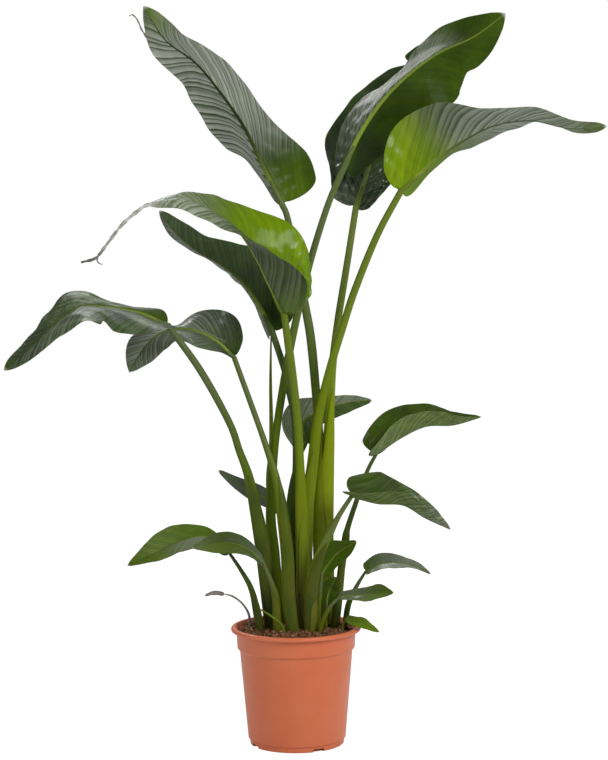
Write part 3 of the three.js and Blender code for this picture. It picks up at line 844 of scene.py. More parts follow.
@dataclass
class Stem:
    """A stalk or shoot that stands in the soil and follows rows of x, y, z, width and depth."""

    rows: Rows
    spacing: float = 5.0
    sides: int = 28

    def __post_init__(self) -> None:
        """Works out the rings' middles, directions and sizes."""
        table = np.array(self.rows, float)
        spline = Spline(table[:, :3])
        u = spline.even(np.linspace(0, 1, int(max(8, spline.length / self.spacing))))
        foot = np.tile(table[0], (FOOT_RINGS, 1))
        foot[:, 2] = np.linspace(SOIL_TOP - HOLE_DEPTH + SEAT_GAP, table[0, 2], FOOT_RINGS + 1)[:-1]
        self.centre = np.vstack([foot[:, :3], spline.at(u)])
        self.along = np.vstack([np.tile([0.0, 0.0, 1.0], (FOOT_RINGS, 1)), spline.direction(u)])
        self.width, self.depth = (np.append(foot[:, k], eased(table[:, k], u)) for k in (3, 4))
        self.reached = lengths_to(self.centre)
        self.at_soil = self.reached[FOOT_RINGS]
        self.share = np.clip((self.reached - self.at_soil) / (self.reached[-1] - self.at_soil), 0, 1)


@dataclass
class Stalk(Stem):
    """A leaf's stalk, channelled on the side that the blade's upper face looks to.

    Its ends are the last rings, inside the blade's rib: the share of the blade's length, how deep
    in the rib and how much of the size is left.
    """

    blade: Blade | None = None
    groove: tuple[float, float] = (0.10, 0.30)
    groove_width: float = 0.5
    ends: Rows = ((0.012, 0.25, 0.98), (0.03, 0.50, 0.90), (0.06, 0.62, 0.74), (0.10, 0.66, 0.45))
    fan_middle: tuple[float, float, float] = (0.0, 20.0, 0.0)

    @classmethod
    def under(cls, blade: Blade) -> "Stalk":
        """The stalk that ends just short of a blade's base, as thick as its rib."""
        end, vein = np.array(blade.leaf.rib[0]) - SEAT_GAP * blade.along[0], blade.leaf.vein
        return cls([*blade.leaf.stalk, [*end, 2 * vein, 1.7 * vein]], blade=blade)

    def skin(self) -> bmesh.types.BMesh:
        """The closed stalk, which runs on into the blade's rib."""
        blade, leaf = self.blade, self.blade.leaf
        wide = axes(self.along)[0]
        turned = smooth(self.share[:, None])
        inward = np.array(self.fan_middle) - self.centre * np.array([1.0, 1.0, 0.0])
        looks = unit((1 - turned) * unit(inward) + turned * blade.upward[0])

        places, drop, size = np.array(self.ends).T
        into = np.searchsorted(blade.t, places)
        drop = drop[:, None] * blade.rib_depth * (leaf.vein + 1)
        centre = np.vstack([self.centre, blade.centre[into] - drop * blade.upward[into]])
        along = np.vstack([self.along, blade.along[into]])
        wide_end = blade.leftward[into] * np.sign(np.sum(blade.leftward[0] * wide[-1]) or 1.0)
        wide = np.vstack([wide, unit(0.5 * wide_end + 0.5 * wide[-1])])
        deep = np.cross(along, unit(wide - along * np.sum(wide * along, axis=1)[:, None]))
        width = np.append(self.width, self.width[-1] * size)[:, None] / 2
        depth = np.append(self.depth, self.depth[-1] * size * 0.8)[:, None] / 2
        looks = np.vstack([looks, blade.upward[into]])
        share = np.append(self.share, np.ones(len(into)))[:, None]
        reached = np.append(self.reached, self.reached[-1] + blade.t[into] * blade.length)

        x, y = width * np.cos(turns(self.sides)), depth * np.sin(turns(self.sides))
        spoke = spokes(wide, deep, x, y)
        facing = np.clip(np.sum(unit(spoke) * looks[:, None], axis=2), -1, 1)
        channel = np.exp(-((np.arccos(facing) / self.groove_width) ** 2))
        low, high = self.groove
        spoke *= (1 - (low + (high - low) * share) * channel)[..., None]
        yellow_low, yellow_high, red, bloom = leaf.growth.value
        values = {
            "yellow": yellow_low + (yellow_high - yellow_low) * share,
            "red": 1.6 * red * np.exp(-reached / RED_REACH)[:, None],
            "wax": 0.25 * channel + bloom * smooth((share - 0.40) / 0.45),
            "brown": 0.0,
            "rot": leaf.rot,
        }
        return closed_skin(centre[:, None] + spoke, {**stalk_places(reached, x, y), **values})


@dataclass
class Shoot(Stem):
    """A young leaf that is still rolled up, with the edge of the roll winding round it."""

    first_turn: float = 0.6
    winding: float = 0.35
    lap: float = 0.22

    def skin(self) -> bmesh.types.BMesh:
        """The closed shoot."""
        turn = turns(self.sides)
        seam = math.tau * (self.first_turn + self.winding * self.share)[:, None]
        past_edge = np.mod(turn - seam, math.tau) / math.tau
        size = (1 - self.lap * past_edge) / 2
        x, y = size * self.width[:, None] * np.cos(turn), size * self.depth[:, None] * np.sin(turn)
        values = {
            "yellow": 0.35 + 0.4 * smooth(1 - 12 * past_edge),
            "red": 0.1,
            "wax": 0.1,
            "brown": 0.8 * smooth((self.share[:, None] - 0.96) / 0.04),
        }
        rings = self.centre[:, None] + spokes(*axes(self.along), x, y)
        return closed_skin(rings, {**stalk_places(self.reached, x, y), **values})


@dataclass
class Sheath:
    """A thin, pointed sheath that hugs a stalk and dries along its edge.

    It starts just below the soil, reaches high, in millimetres along the stalk, and covers the wrap
    to both sides of the direction that it faces, in degrees, where 0 is the right and -90 the front.
    Dry tells how brown it is.
    """

    owner: str
    high: float
    facing: float
    wrap: float
    dry: float = 0.0
    yellow: float = 0.3
    thickness: float = 0.5
    clearance: float = 0.2
    rows: int = 46
    columns: int = 16
    below_soil: float = 16.0
    lean: float = 12.0
    streak_radius: float = 8.0

    def skin(self, stem: Stem) -> bmesh.types.BMesh:
        """The closed sheath.

        Args:
            stem: The stalk that it hugs.

        Returns:
            Its mesh in metres.
        """
        share = np.linspace(0, 1, self.rows)
        above_soil = (self.high + self.below_soil) * share - self.below_soil
        reached = stem.at_soil + above_soil
        table = np.column_stack([stem.centre, *axes(stem.along), stem.width, stem.depth])
        followed = np.column_stack([np.interp(reached, stem.reached, numbers) for numbers in table.T])
        centre, wide, deep, half_sizes = np.split(followed, (3, 6, 9), axis=1)
        width, depth = (half_sizes.T / 2)[..., None]

        reach = math.radians(self.wrap) * np.clip(1 - share**2.4, 0.0004, 1) ** 0.75
        middle = math.radians(self.facing) + math.radians(self.lean) * np.sin(5 * share)
        place = np.linspace(-1, 1, self.columns)
        turn = middle[:, None] + reach[:, None] * place
        edge = np.abs(place) * np.ones_like(turn)
        ahead, aside = np.cos(turn), np.sin(turn)
        outer, inner = (
            centre[:, None] + spokes(wide, deep, (width + lift) * ahead, (depth + lift) * aside)
            for lift in (self.clearance + self.thickness * (1 - 0.6 * edge**4), self.clearance)
        )
        rim = smooth((there_and_back(edge) - 0.80) / 0.2)
        end = smooth((share - 0.90) / 0.1)[:, None]
        x, y = (self.streak_radius * there_and_back(way) for way in (ahead, aside))
        values = {
            "yellow": self.yellow + 0.25 * rim,
            "red": 0.5 * np.exp(-above_soil / RED_REACH)[:, None] + 0.25 * rim,
            "wax": 0.05,
            "brown": np.clip(self.dry + 0.75 * rim**3 + 0.15 * end, 0, 1),
        }
        return closed_skin(there_and_back(outer, inner), {**stalk_places(reached, x, y), **values})


@dataclass
class Thread:
    """A withered thread at the end of a blade, which darkens towards its end."""

    name: str
    path: Rows
    width: float
    rot: tuple[float, float] = (0.0, 1.0)
    taper: float = 0.6
    flatness: float = 0.6
    twist: float = 5.0
    spacing: float = 2.5
    sides: int = 10

    def skin(self) -> bmesh.types.BMesh:
        """The closed thread."""
        spline = Spline(self.path)
        share = np.linspace(0, 1, int(max(12, spline.length / self.spacing)))
        u = spline.even(share)
        kinks = 1 + 0.18 * np.sin(share * 37) + 0.12 * np.sin(share * 91)
        size = (self.width * (1 - self.taper * share) * kinks / 2)[:, None]
        twist = turns(self.sides) + self.twist * share[:, None]
        x, y = size * np.cos(twist), self.flatness * size * np.sin(twist)
        start, end = self.rot
        rot = (start + (end - start) * smooth((share - 0.55) / 0.35))[:, None]
        rings = spline.at(u)[:, None] + spokes(*axes(spline.direction(u)), x, y)
        return closed_skin(rings, {"rot": rot})


# The leaves, with the sizes of the solids
LEAVES = [
    Leaf(
        "leaf_1", Growth.MATURE, [180], 6, 18, 4,
        [[-18, 60, 1022], [-53, 72, 1093], [-87, 86, 1165], [-129, 104, 1228], [-178, 124, 1288],
         [-238, 146, 1335], [-278, 160, 1399]],
        Half([70, 92, 60, 62, 68, 50, 8], [5, 30, 40, 60, 15], [0.3, 0.08, 0, 0, 0, 0, 0.4],
             [0, 0.05, 0.75, 1, 0.95, 0.8, 0.1], [0.1], 0.5, 2.4, 0.8),
        Half([8, 48, 107, 76, 60, 44, 8], [90, 75, 45, 35, 40], [0.1, 0, 0, 0, 0, 0, 0.2],
             [0.4, 0.7, 0.85, 0.9, 0.95, 0.95, 0.6], pleats=0.9),
        [[57, 45, 228, 24, 13], [57, 45, 344, 26, 13], [53, 44, 460, 22, 13], [47, 42, 600, 17, 13],
         [36, 42, 750, 17, 12], [24, 45, 830, 16, 12], [-5, 53, 985, 12, 11]],
        rib_tone=[1, 0.25, 0, 0, 0, 0.05, 0.2],
    ),
    Leaf(
        "leaf_2", Growth.MATURE, [180], 6, 18, 4,
        [[99, 0, 1089], [131, 10, 1153], [173, 20, 1212], [225, 32, 1262], [282, 44, 1301],
         [348, 56, 1331], [406, 66, 1373]],
        Half([62, 95, 82, 92, 90, 56, 8], [75, 45, 0, 30, 20], [0, 0.03, 0.08, 0.1, 0.1], [0],
             [0.03]),
        Half([34, 70, 84, 80, 76, 54, 8], [80, 65, 85, 50, 25], [0, 0, 0.05, 0.1],
             [0.1, 0.35, 0.5, 0.55, 0, 0], [0.3, 0.14, 0.06, 0.06, 0.1], 0.6, crumple=2),
        [[-29, 20, 228, 20, 14], [-38, 18, 355, 21, 14], [-45, 14, 435, 20, 14], [-39, 10, 536, 16, 13],
         [-30, 8, 613, 15, 13], [-10, 6, 727, 15, 12], [13, 4, 831, 14, 12], [37, 2, 923, 13, 11],
         [69, 0, 1021, 12, 10]],
        cut=(Side.LEFT, 0.76, 0.14), rib_tone=[0.7, 0.55, 0.45, 0.4],
    ),
    Leaf(
        "leaf_3", Growth.PALE, [180], 6, 16, 5,
        [[123, 68, 1016], [143, 94, 1071], [161, 122, 1126], [181, 152, 1178], [207, 180, 1231],
         [234, 210, 1280], [264, 240, 1327]],
        Half([16, 48, 75, 76, 72, 46, 8], [30, 30, 45, 40, 40], [0], [0.3, 0, 0, 0], [0.8, 0.3], 0.8,
             crumple=4),
        Half([40, 70, 98, 86, 72, 36, 8], [10, 10, 25, 35, 40], [0], [0.3, 0, 0, 0], [0.8, 0.3], 0.8,
             crumple=4),
        [[57, 22, 228, 28, 15], [57, 22, 269, 32, 15], [55, 22, 386, 34, 15], [59, 22, 500, 30, 14],
         [65, 22, 572, 22, 14], [70, 22, 653, 17, 14], [75, 23, 721, 15, 13], [86, 30, 803, 14, 12],
         [104, 46, 906, 13, 11]],
        cut=(Side.RIGHT, 0.85, 0.8), rib_tone=[0.5, 0.2],
    ),
    Leaf(
        "leaf_4", Growth.BRIGHT, [-143, -140, -112, -110, -110], 6, 20, 3,
        [[205, -20, 1046], [257, -30, 1094], [313, -44, 1134], [374, -56, 1164], [440, -72, 1172],
         [508, -84, 1157], [576, -92, 1159]],
        Half([54, 88, 100, 60, 48, 32, 8], [35, 45, 0, 25, -35], [0.9, 0.8, 0.3, 0, 0, 0.1, 0.3],
             [0, 0.1, 0.5, 0.9, 0.9, 0.7, 0.3], pleats=0.6),
        Half([30, 95, 88, 74, 56, 32, 8], [20, 50, 10, 5, 25], [1, 0.75, 0.1, 0, 0, 0.1, 0.3],
             [0, 0.1, 0.6, 0.9, 1, 0.8, 0.4], [0.3, 0.3, 0.12], 0.6, crumple=1.5),
        [[15, 4, 228, 20, 13], [17, 4, 330, 26, 13], [23, 4, 440, 26, 13], [35, 2, 535, 22, 13],
         [45, 0, 613, 19, 12], [60, -2, 679, 16, 12], [75, -4, 733, 15, 12], [92, -6, 785, 14, 12],
         [116, -10, 858, 14, 12], [159, -16, 962, 13, 11]],
        rib_tone=[1, 0.7, 0.2, 0.1, 0.1, 0.2, 0.3],
    ),
    Leaf(
        "leaf_5", Growth.BRIGHT, [90], 7, 18, 3,
        [[-15, -30, 820], [-41, -46, 876], [-67, -62, 931], [-101, -80, 981], [-147, -102, 1015],
         [-202, -122, 1036], [-260, -140, 1026]],
        Half([30, 80, 76, 70, 46, 36, 8], [85, 50, 0, -30, -45], [0.2, 0.06, 0.03, 0.03, 0.1, 0.1, 0.1],
             [0.1, 0.25, 0.25, 0.25, 0.6, 1, 1], pleats=0.7),
        Half([60, 90, 98, 70, 46, 25, 8], [75, 80, 40, 30, 25], [0.8, 1, 1, 0.75, 0.3, 0.1, 0],
             [0, 0, 0, 0.1, 0.5, 1, 1], [1, 0.6, 0.15, 0.1, 0.1, 0.1], crumple=5),
        [[13, -22, 228, 18, 13], [15, -22, 334, 26, 13], [13, -22, 441, 24, 13], [11, -24, 541, 16, 12],
         [8, -26, 616, 16, 12], [0, -28, 702, 16, 12], [-6, -29, 752, 17, 11]],
        dry_tip=0.07, rib_tone=[1, 0.8, 0.6, 0.5],
    ),
    Leaf(
        "leaf_6", Growth.DARK, [175], 6, 14, 3,
        [[-39, 40, 782], [-63, 58, 830], [-95, 80, 874], [-135, 102, 907], [-181, 128, 932],
         [-221, 152, 964], [-255, 170, 1008]],
        Half([30, 74, 84, 52, 34, 28, 6], [25, 20, 25, 20, 15], [0], [0, 0.1, 0.1, 0.2]),
        Half([60, 72, 80, 76, 58, 32, 6], [80, 80, 80, 75, 40], [0], [0.6, 0.7, 0.6, 0.5]),
        [[-5, 38, 228, 20, 12], [-7, 34, 325, 20, 12], [-1, 30, 434, 18, 12], [5, 26, 532, 16, 12],
         [3, 26, 614, 15, 12], [-7, 28, 668, 14, 12], [-15, 30, 706, 13, 11]],
        rib_tone=[0.8, 0.2, 0.1, 0.1],
    ),
    Leaf(
        "leaf_7", Growth.MATURE, [60, 60, 55, 45, 40], 6, 12, 3,
        [[-231, -60, 803], [-279, -82, 827], [-335, -102, 840], [-388, -124, 842], [-435, -140, 810],
         [-477, -150, 769], [-523, -158, 731]],
        Half([56, 84, 76, 72, 56, 36, 6], [55, 5, 10, 20, 5], [0], [0, 0.1, 0.2, 0.3, 0.25], [0.08],
             0.9),
        Half([56, 48, 62, 76, 56, 32, 6], [-5, -30, -10, -25, 10], [0.1, 0.1, 0.05, 0, 0],
             [0, 0.06, 0.1, 0.1], [0.06], 0.9),
        [[-47, -4, 228, 26, 16], [-51, -8, 280, 28, 16], [-59, -18, 362, 29, 16],
         [-71, -28, 443, 25, 15], [-85, -36, 517, 19, 15], [-102, -41, 567, 15, 14],
         [-120, -46, 620, 14, 13], [-172, -54, 718, 14, 12]],
        cut=(Side.LEFT, 0.4, 0.3), rib_tone=[0.7, 0.35, 0.15, 0.1],
    ),
    Leaf(
        "leaf_8", Growth.FRESH, [55, 50, 40, 20, 10], 5, 10, 2,
        [[-111, 20, 735], [-141, 14, 765], [-177, 8, 785], [-217, 4, 791], [-257, 0, 777],
         [-285, -4, 747], [-307, -6, 711]],
        Half([40, 52, 60, 40, 38, 30, 4], [50, 25, 20, 15, 5], [0], [0.2, 0.5, 0.65], [0.1], 0.55),
        Half([40, 62, 50, 52, 36, 32, 4], [-5, 35, -50, -10, 15], [0], [0, 0.3, 0.9, 1, 0.5],
             [0.1, 0.22, 0.2, 0.1], 0.5, crumple=1),
        [[-7, -56, 228, 24, 14], [-13, -50, 287, 25, 14], [-15, -42, 365, 24, 13],
         [-23, -30, 443, 22, 13], [-33, -18, 507, 17, 12], [-55, -4, 577, 12, 11],
         [-81, 8, 651, 11, 10]],
        rib_tone=[0.8, 0.4, 0.1],
    ),
    Leaf(
        "leaf_9", Growth.DARK, [150], 3.5, 10, 2,
        [[23, 76, 563], [21, 86, 605], [61, 98, 627], [105, 110, 637], [151, 120, 640]],
        Half([24, 30, 28, 20, 4], [35, 55, 35], [0.1], [0.1]),
        Half([40, 62, 28, 20, 4], [30, 15, 20], [0.1], [0.7]),
        [[-11, 60, 228, 9, 8], [-13, 60, 321, 9, 8], [-13, 62, 417, 8, 7], [-9, 66, 469, 8, 7],
         [3, 72, 519, 7, 6]],
    ),
    Leaf(
        "leaf_10", Growth.DARK, [180], 2.5, 4, 1,
        [[-5, 84, 422], [-39, 86, 447], [-75, 88, 467], [-111, 88, 487], [-145, 90, 511]],
        Half([14, 16, 18, 12, 3], [15], [0], [0.5]),
        Half([14, 16, 18, 12, 3], [15], [0], [0.5]),
        [[5, 76, 228, 8, 7], [3, 78, 338, 7, 6]],
    ),
    Leaf(
        "leaf_11", Growth.MATURE, [60], 3, 5, 1,
        [[-59, -60, 355], [-85, -64, 381], [-119, -70, 396], [-155, -76, 396], [-191, -82, 390]],
        young_half([16, 18, 24, 20, 3], [35, -15, -25], [0, 0.2, 0.35, 0.2], [0.35, 0.15, 0.1, 0.4]),
        young_half([16, 20, 24, 18, 3], [-20, 25, 25], [0, 0.1, 0.2], [0.6, 0.2, 0.1, 0.4]),
        [[-35, -46, 228, 15, 12], [-37, -48, 287, 15, 11], [-45, -54, 319, 9, 8]],
    ),
    Leaf(
        "leaf_12", Growth.DARK, [60], 3, 6, 2,
        [[-125, -32, 373], [-167, -36, 403], [-219, -44, 395], [-265, -50, 373], [-313, -56, 353]],
        young_half([20, 34, 28, 20, 3], [20, -10, -5], [0.05, 0.1, 0.15, 0.35, 0.3],
                   [0.5, 0.6, 0.5, 0.1, 0]),
        young_half([20, 22, 36, 28, 4], [-5, 35, 35], [0.1, 0.3, 0.35, 0.35, 0.3],
                   [0.1, 0.05, 0.25, 0]),
        [[-69, -24, 228, 15, 10], [-73, -24, 256, 15, 10], [-83, -28, 302, 12, 9],
         [-103, -29, 339, 8, 7]],
    ),
    Leaf(
        "leaf_13", Growth.DARK, [-80], 3.5, 22, 2,
        [[155, -10, 553], [199, -14, 583], [247, -18, 605], [299, -20, 607], [351, -22, 621]],
        young_half([34, 60, 46, 28, 4], [65, 60, 50], [0.1], [0]),
        young_half([28, 46, 40, 28, 4], [35, 70, 50], [0.3], [0.3]),
        [[74, -10, 228, 16, 12], [79, -10, 266, 16, 12], [87, -8, 332, 14, 11], [95, -8, 390, 16, 11],
         [99, -8, 412, 12, 10], [115, -8, 459, 10, 9], [137, -9, 519, 8, 8]],
    ),
    Leaf(
        "leaf_14", Growth.FRESH, [-80], 4, 30, 2,
        [[107, -82, 484], [153, -92, 472], [201, -102, 469], [242, -112, 445], [286, -122, 425]],
        young_half([26, 60, 36, 28, 4], [75, 65, 55], [0.1], [0.1, 0.1, 0.3, 0.8]),
        young_half([12, 34, 36, 24, 4], [35, 65, 50], [0.25, 0.25, 0.1], [0.2, 0.3, 0.9]),
        [[27, -56, 228, 24, 14], [29, -56, 289, 24, 14], [37, -58, 341, 21, 13], [49, -62, 379, 18, 12],
         [67, -68, 416, 14, 11], [83, -75, 447, 10, 9]],
    ),
    Leaf(
        "leaf_15", Growth.DARK, [-65], 2.5, 6, 1,
        [[133, -14, 330], [161, -18, 344], [193, -24, 348], [226, -26, 340], [254, -30, 326]],
        young_half([16, 24, 16, 12, 3], [35, 30, 25], [0.25, 0.08, 0.05, 0.2], [0, 0.5, 0.7, 0.3]),
        young_half([12, 18, 18, 10, 3], [10, 0, 20], [0.25, 0.1, 0.05, 0.2], [0.1, 1, 0.9, 0.3]),
        [[93, -4, 228, 11, 9], [100, -6, 268, 12, 9], [116, -10, 302, 8, 7]],
    ),
    Leaf(
        "leaf_16", Growth.MATURE, [-60], 2.5, 4, 1,
        [[83, -72, 293], [107, -74, 295], [131, -78, 297], [155, -80, 299], [182, -82, 301]],
        young_half([12, 16, 16, 20, 3], [5, 25, 35], [0.05, 0.15, 0.25], [0.35, 0.3, 0.1, 0.05]),
        young_half([12, 16, 18, 12, 3], [25, 0, -5], [0.1, 0.2, 0.35, 0.3], [0.5, 0.25, 0.05]),
        [[45, -70, 228, 8, 7], [52, -70, 251, 8, 7], [65, -71, 275, 7, 6]],
    ),
    Leaf(
        "leaf_17", Growth.FRESH, [-60], 2, 2, 1,
        [[95, -40, 246], [111, -42, 240], [127, -42, 236], [141, -44, 228], [156, -46, 220]],
        Half([8, 13, 13, 9, 2], [10], [0.5, 0.75], [0.1]),
        Half([8, 13, 13, 9, 2], [-5], [0.5, 0.75], [0.1]),
        [[87, -36, 226, 6, 6], [90, -38, 238, 5, 5]],
    ),
    Leaf(
        "leaf_18", Growth.FRESH, [0], 2.5, 5, 1,
        [[51, -22, 330], [65, -24, 350], [79, -26, 367], [97, -30, 379], [115, -34, 391]],
        Half([18, 28, 30, 16, 3], [10], [0.15], [0]),
        Half([18, 16, 20, 16, 3], [20], [0.15], [0]),
        [[43, -22, 228, 8, 7], [45, -21, 278, 7, 6]],
    ),
    Leaf(
        "leaf_19", Growth.FRESH, [0], 2, 3, 1,
        [[59, -18, 272], [61, -16, 284], [65, -14, 296], [71, -16, 308], [77, -16, 320]],
        Half([10, 12, 17, 15, 3], [10], [0.1], [0]),
        Half([10, 14, 14, 10, 3], [18], [0.1], [0]),
        [[57, -22, 228, 6, 6], [57, -20, 246, 6, 5]],
    ),
    Leaf(
        "dry_leaf", Growth.FRESH, [180], 1, 0, 1,
        [[-135, -6, 288], [-153, -6, 290], [-171, -6, 286]],
        Half([4, 5, 2], [30]),
        Half([4, 4, 2], [20]),
        [[-87, -10, 228, 6, 6], [-89, -10, 250, 5, 5], [-101, -8, 270, 4, 4], [-119, -8, 284, 4, 4]],
        rot=0.65,
    ),
]

SHEATHS = [
    Sheath("leaf_3", 448, -60, 112, yellow=0.8, thickness=0.8, clearance=0.7),
    Sheath("leaf_3", 390, -160, 84, yellow=0.6, clearance=3.6),
    Sheath("leaf_4", 330, -85, 105, yellow=0.55, thickness=0.8, clearance=0.7),
    Sheath("leaf_4", 250, -152, 68, yellow=0.66, clearance=1.7),
    Sheath("leaf_5", 215, -60, 100, yellow=0.45),
    Sheath("leaf_7", 300, -80, 110, yellow=0.06),
    Sheath("leaf_8", 290, -50, 110, yellow=0.12),
    Sheath("leaf_13", 165, -100, 115, yellow=0.08),
    Sheath("leaf_14", 175, -60, 110, yellow=0.08),
    Sheath("leaf_14", 58, -30, 80, dry=0.2, clearance=0.9),
    Sheath("leaf_5", 66, -110, 80, dry=0.2, clearance=0.9),
    Sheath("leaf_11", 64, -100, 100, dry=0.15),
    Sheath("leaf_12", 74, -90, 105, yellow=0.05),
]

THREADS = [
    Thread("leaf_1_curl", [[-260, 166, 1315], [-269, 168, 1331], [-276, 168, 1344], [-283, 167, 1355],
           [-288, 166, 1367], [-293, 165, 1377], [-301, 163, 1384], [-306, 161, 1381]], 5, (0.6, 1)),
    Thread("leaf_5_thread", [[-248, -137, 1029], [-260, -140, 1026], [-274, -140, 1018],
           [-305, -142, 992], [-334, -144, 956], [-354, -144, 932], [-381, -144, 924]], 7, (0, 0.9),
           0.35),
    Thread("leaf_5_thread_fork", [[-348, -144, 940], [-352, -144, 928], [-348, -145, 922],
           [-342, -146, 920]], 4, (0.7, 1)),
]

SHOOTS = {
    "spear_leaf": [[-37, 48, 228, 12, 12], [-39, 48, 323, 13, 12], [-45, 46, 431, 13, 12],
                   [-49, 44, 498, 12, 11], [-43, 44, 570, 10, 9], [-43, 44, 686, 6, 6],
                   [-41, 44, 770, 3, 3]],
    "side_shoot": [[-23, -70, 228, 8, 7], [-27, -72, 241, 7, 6], [-43, -76, 256, 6, 5],
                   [-55, -79, 265, 4, 4], [-67, -82, 273, 3, 3]],
}


@dataclass
class Pot:
    """The moulded nursery pot, in millimetres, with its foot on the floor."""

    height: float = 225
    lip_radius: float = 123
    lip_height: float = 8
    lip_width: float = 8
    lip_edges: tuple[float, float] = (1.5, 2.5)
    collar_top: float = 113
    collar_foot: float = 111.5
    collar_height: float = 42
    body_top: float = 107
    body_foot: float = 92.5
    foot: float = 89.5
    foot_height: float = 11
    wall: float = 2
    floor: float = 2.5
    segments: int = 160
    rounding: float = 0.9
    sharp_from: float = 40
    notches: int = 4
    notch_size: tuple[float, float, float] = (16, 22, 12)
    first_notch: float = -63

    def steps(self) -> list[tuple[float, float]]:
        """Radii and heights of the outer wall, from the foot to the collar's top."""
        collar = self.height - self.collar_height
        return [
            (self.foot, self.foot_height - 1),
            (self.body_foot, self.foot_height + 1),
            (self.body_top, collar - 2),
            (self.collar_foot, collar + 2),
            (self.collar_top, self.height - self.lip_height),
        ]

    def profile(self) -> list[tuple[float, float]]:
        """The whole profile, from the middle of the underside round to the floor inside."""
        top, lip, (under, over) = self.height, self.lip_radius, self.lip_edges
        return [
            (0, 0),
            (self.foot - 2, 0),
            (self.foot - 0.5, 1.5),
            *self.steps(),
            (lip - under, top - self.lip_height),
            (lip, top - self.lip_height + under),
            (lip, top - over),
            (lip - over, top),
            (lip - self.lip_width, top),
            *((radius - self.wall, level) for radius, level in reversed(self.steps())),
            (self.foot - self.wall - 0.5, self.floor),
            (0, self.floor),
        ]

    def skin(self) -> bmesh.types.BMesh:
        """The turned pot with rounded corners."""
        bm = bmesh.new()
        verts = [bm.verts.new((radius * MM, 0, level * MM)) for radius, level in self.profile()]
        for a, b in zip(verts, verts[1:]):
            bm.edges.new((a, b))
        bmesh.ops.bevel(
            bm, geom=verts[1:-1], offset=self.rounding * MM, offset_type="OFFSET", affect="VERTICES",
            segments=3, profile=0.5, material=-1,
        )
        bmesh.ops.spin(
            bm, geom=bm.verts[:] + bm.edges[:], cent=(0, 0, 0), axis=(0, 0, 1),
            angle=math.tau, steps=self.segments, use_merge=True,
        )
        bmesh.ops.remove_doubles(bm, verts=bm.verts, dist=10 * WELD)
        bmesh.ops.recalc_face_normals(bm, faces=bm.faces)
        # The spin leaves them in another order each run, which would change how they are cut
        bm.verts.index_update()
        for parts in (bm.edges, bm.faces):
            in_order = sorted(parts, key=lambda part: sorted(vert.index for vert in part.verts))
            for place, part in enumerate(in_order):
                part.index = place
            parts.sort()
        return bm

    def notch_blocks(self) -> bmesh.types.BMesh:
        """The blocks that the drainage notches are cut with."""
        bm = bmesh.new()
        size = Matrix.Diagonal((*(side * MM for side in self.notch_size), 1))
        for k in range(self.notches):
            turn = math.radians(self.first_notch + 360 * k / self.notches)
            place = Matrix.Rotation(turn, 4, "Z") @ Matrix.Translation((self.foot * MM, 0, 0))
            bmesh.ops.create_cube(bm, size=1, matrix=place @ size)
        return bm

    def build(self, finish: bpy.types.Material) -> None:
        """Makes the pot, cuts its notches and marks its sharp edges.

        Args:
            finish: The pot's material.
        """
        pot = add_piece("moulded_pot", self.skin(), finish, "pot_plastic", "pot")
        blocks = show("notch_blocks", self.notch_blocks())
        cut = pot.modifiers.new("notches", "BOOLEAN")
        cut.operation, cut.object, cut.solver = "DIFFERENCE", blocks, "EXACT"
        seen = pot.evaluated_get(bpy.context.evaluated_depsgraph_get())
        whole = bpy.data.meshes.new_from_object(seen)
        pot.modifiers.clear()
        pot.data = whole
        bpy.data.objects.remove(blocks)
        whole.shade_smooth()
        bm = bmesh.new()
        bm.from_mesh(whole)
        for edge in bm.edges:
            bend = edge.calc_face_angle() if len(edge.link_faces) == 2 else 0
            edge.smooth = bend < math.radians(self.sharp_from)
        bm.to_mesh(whole)
        bm.free()


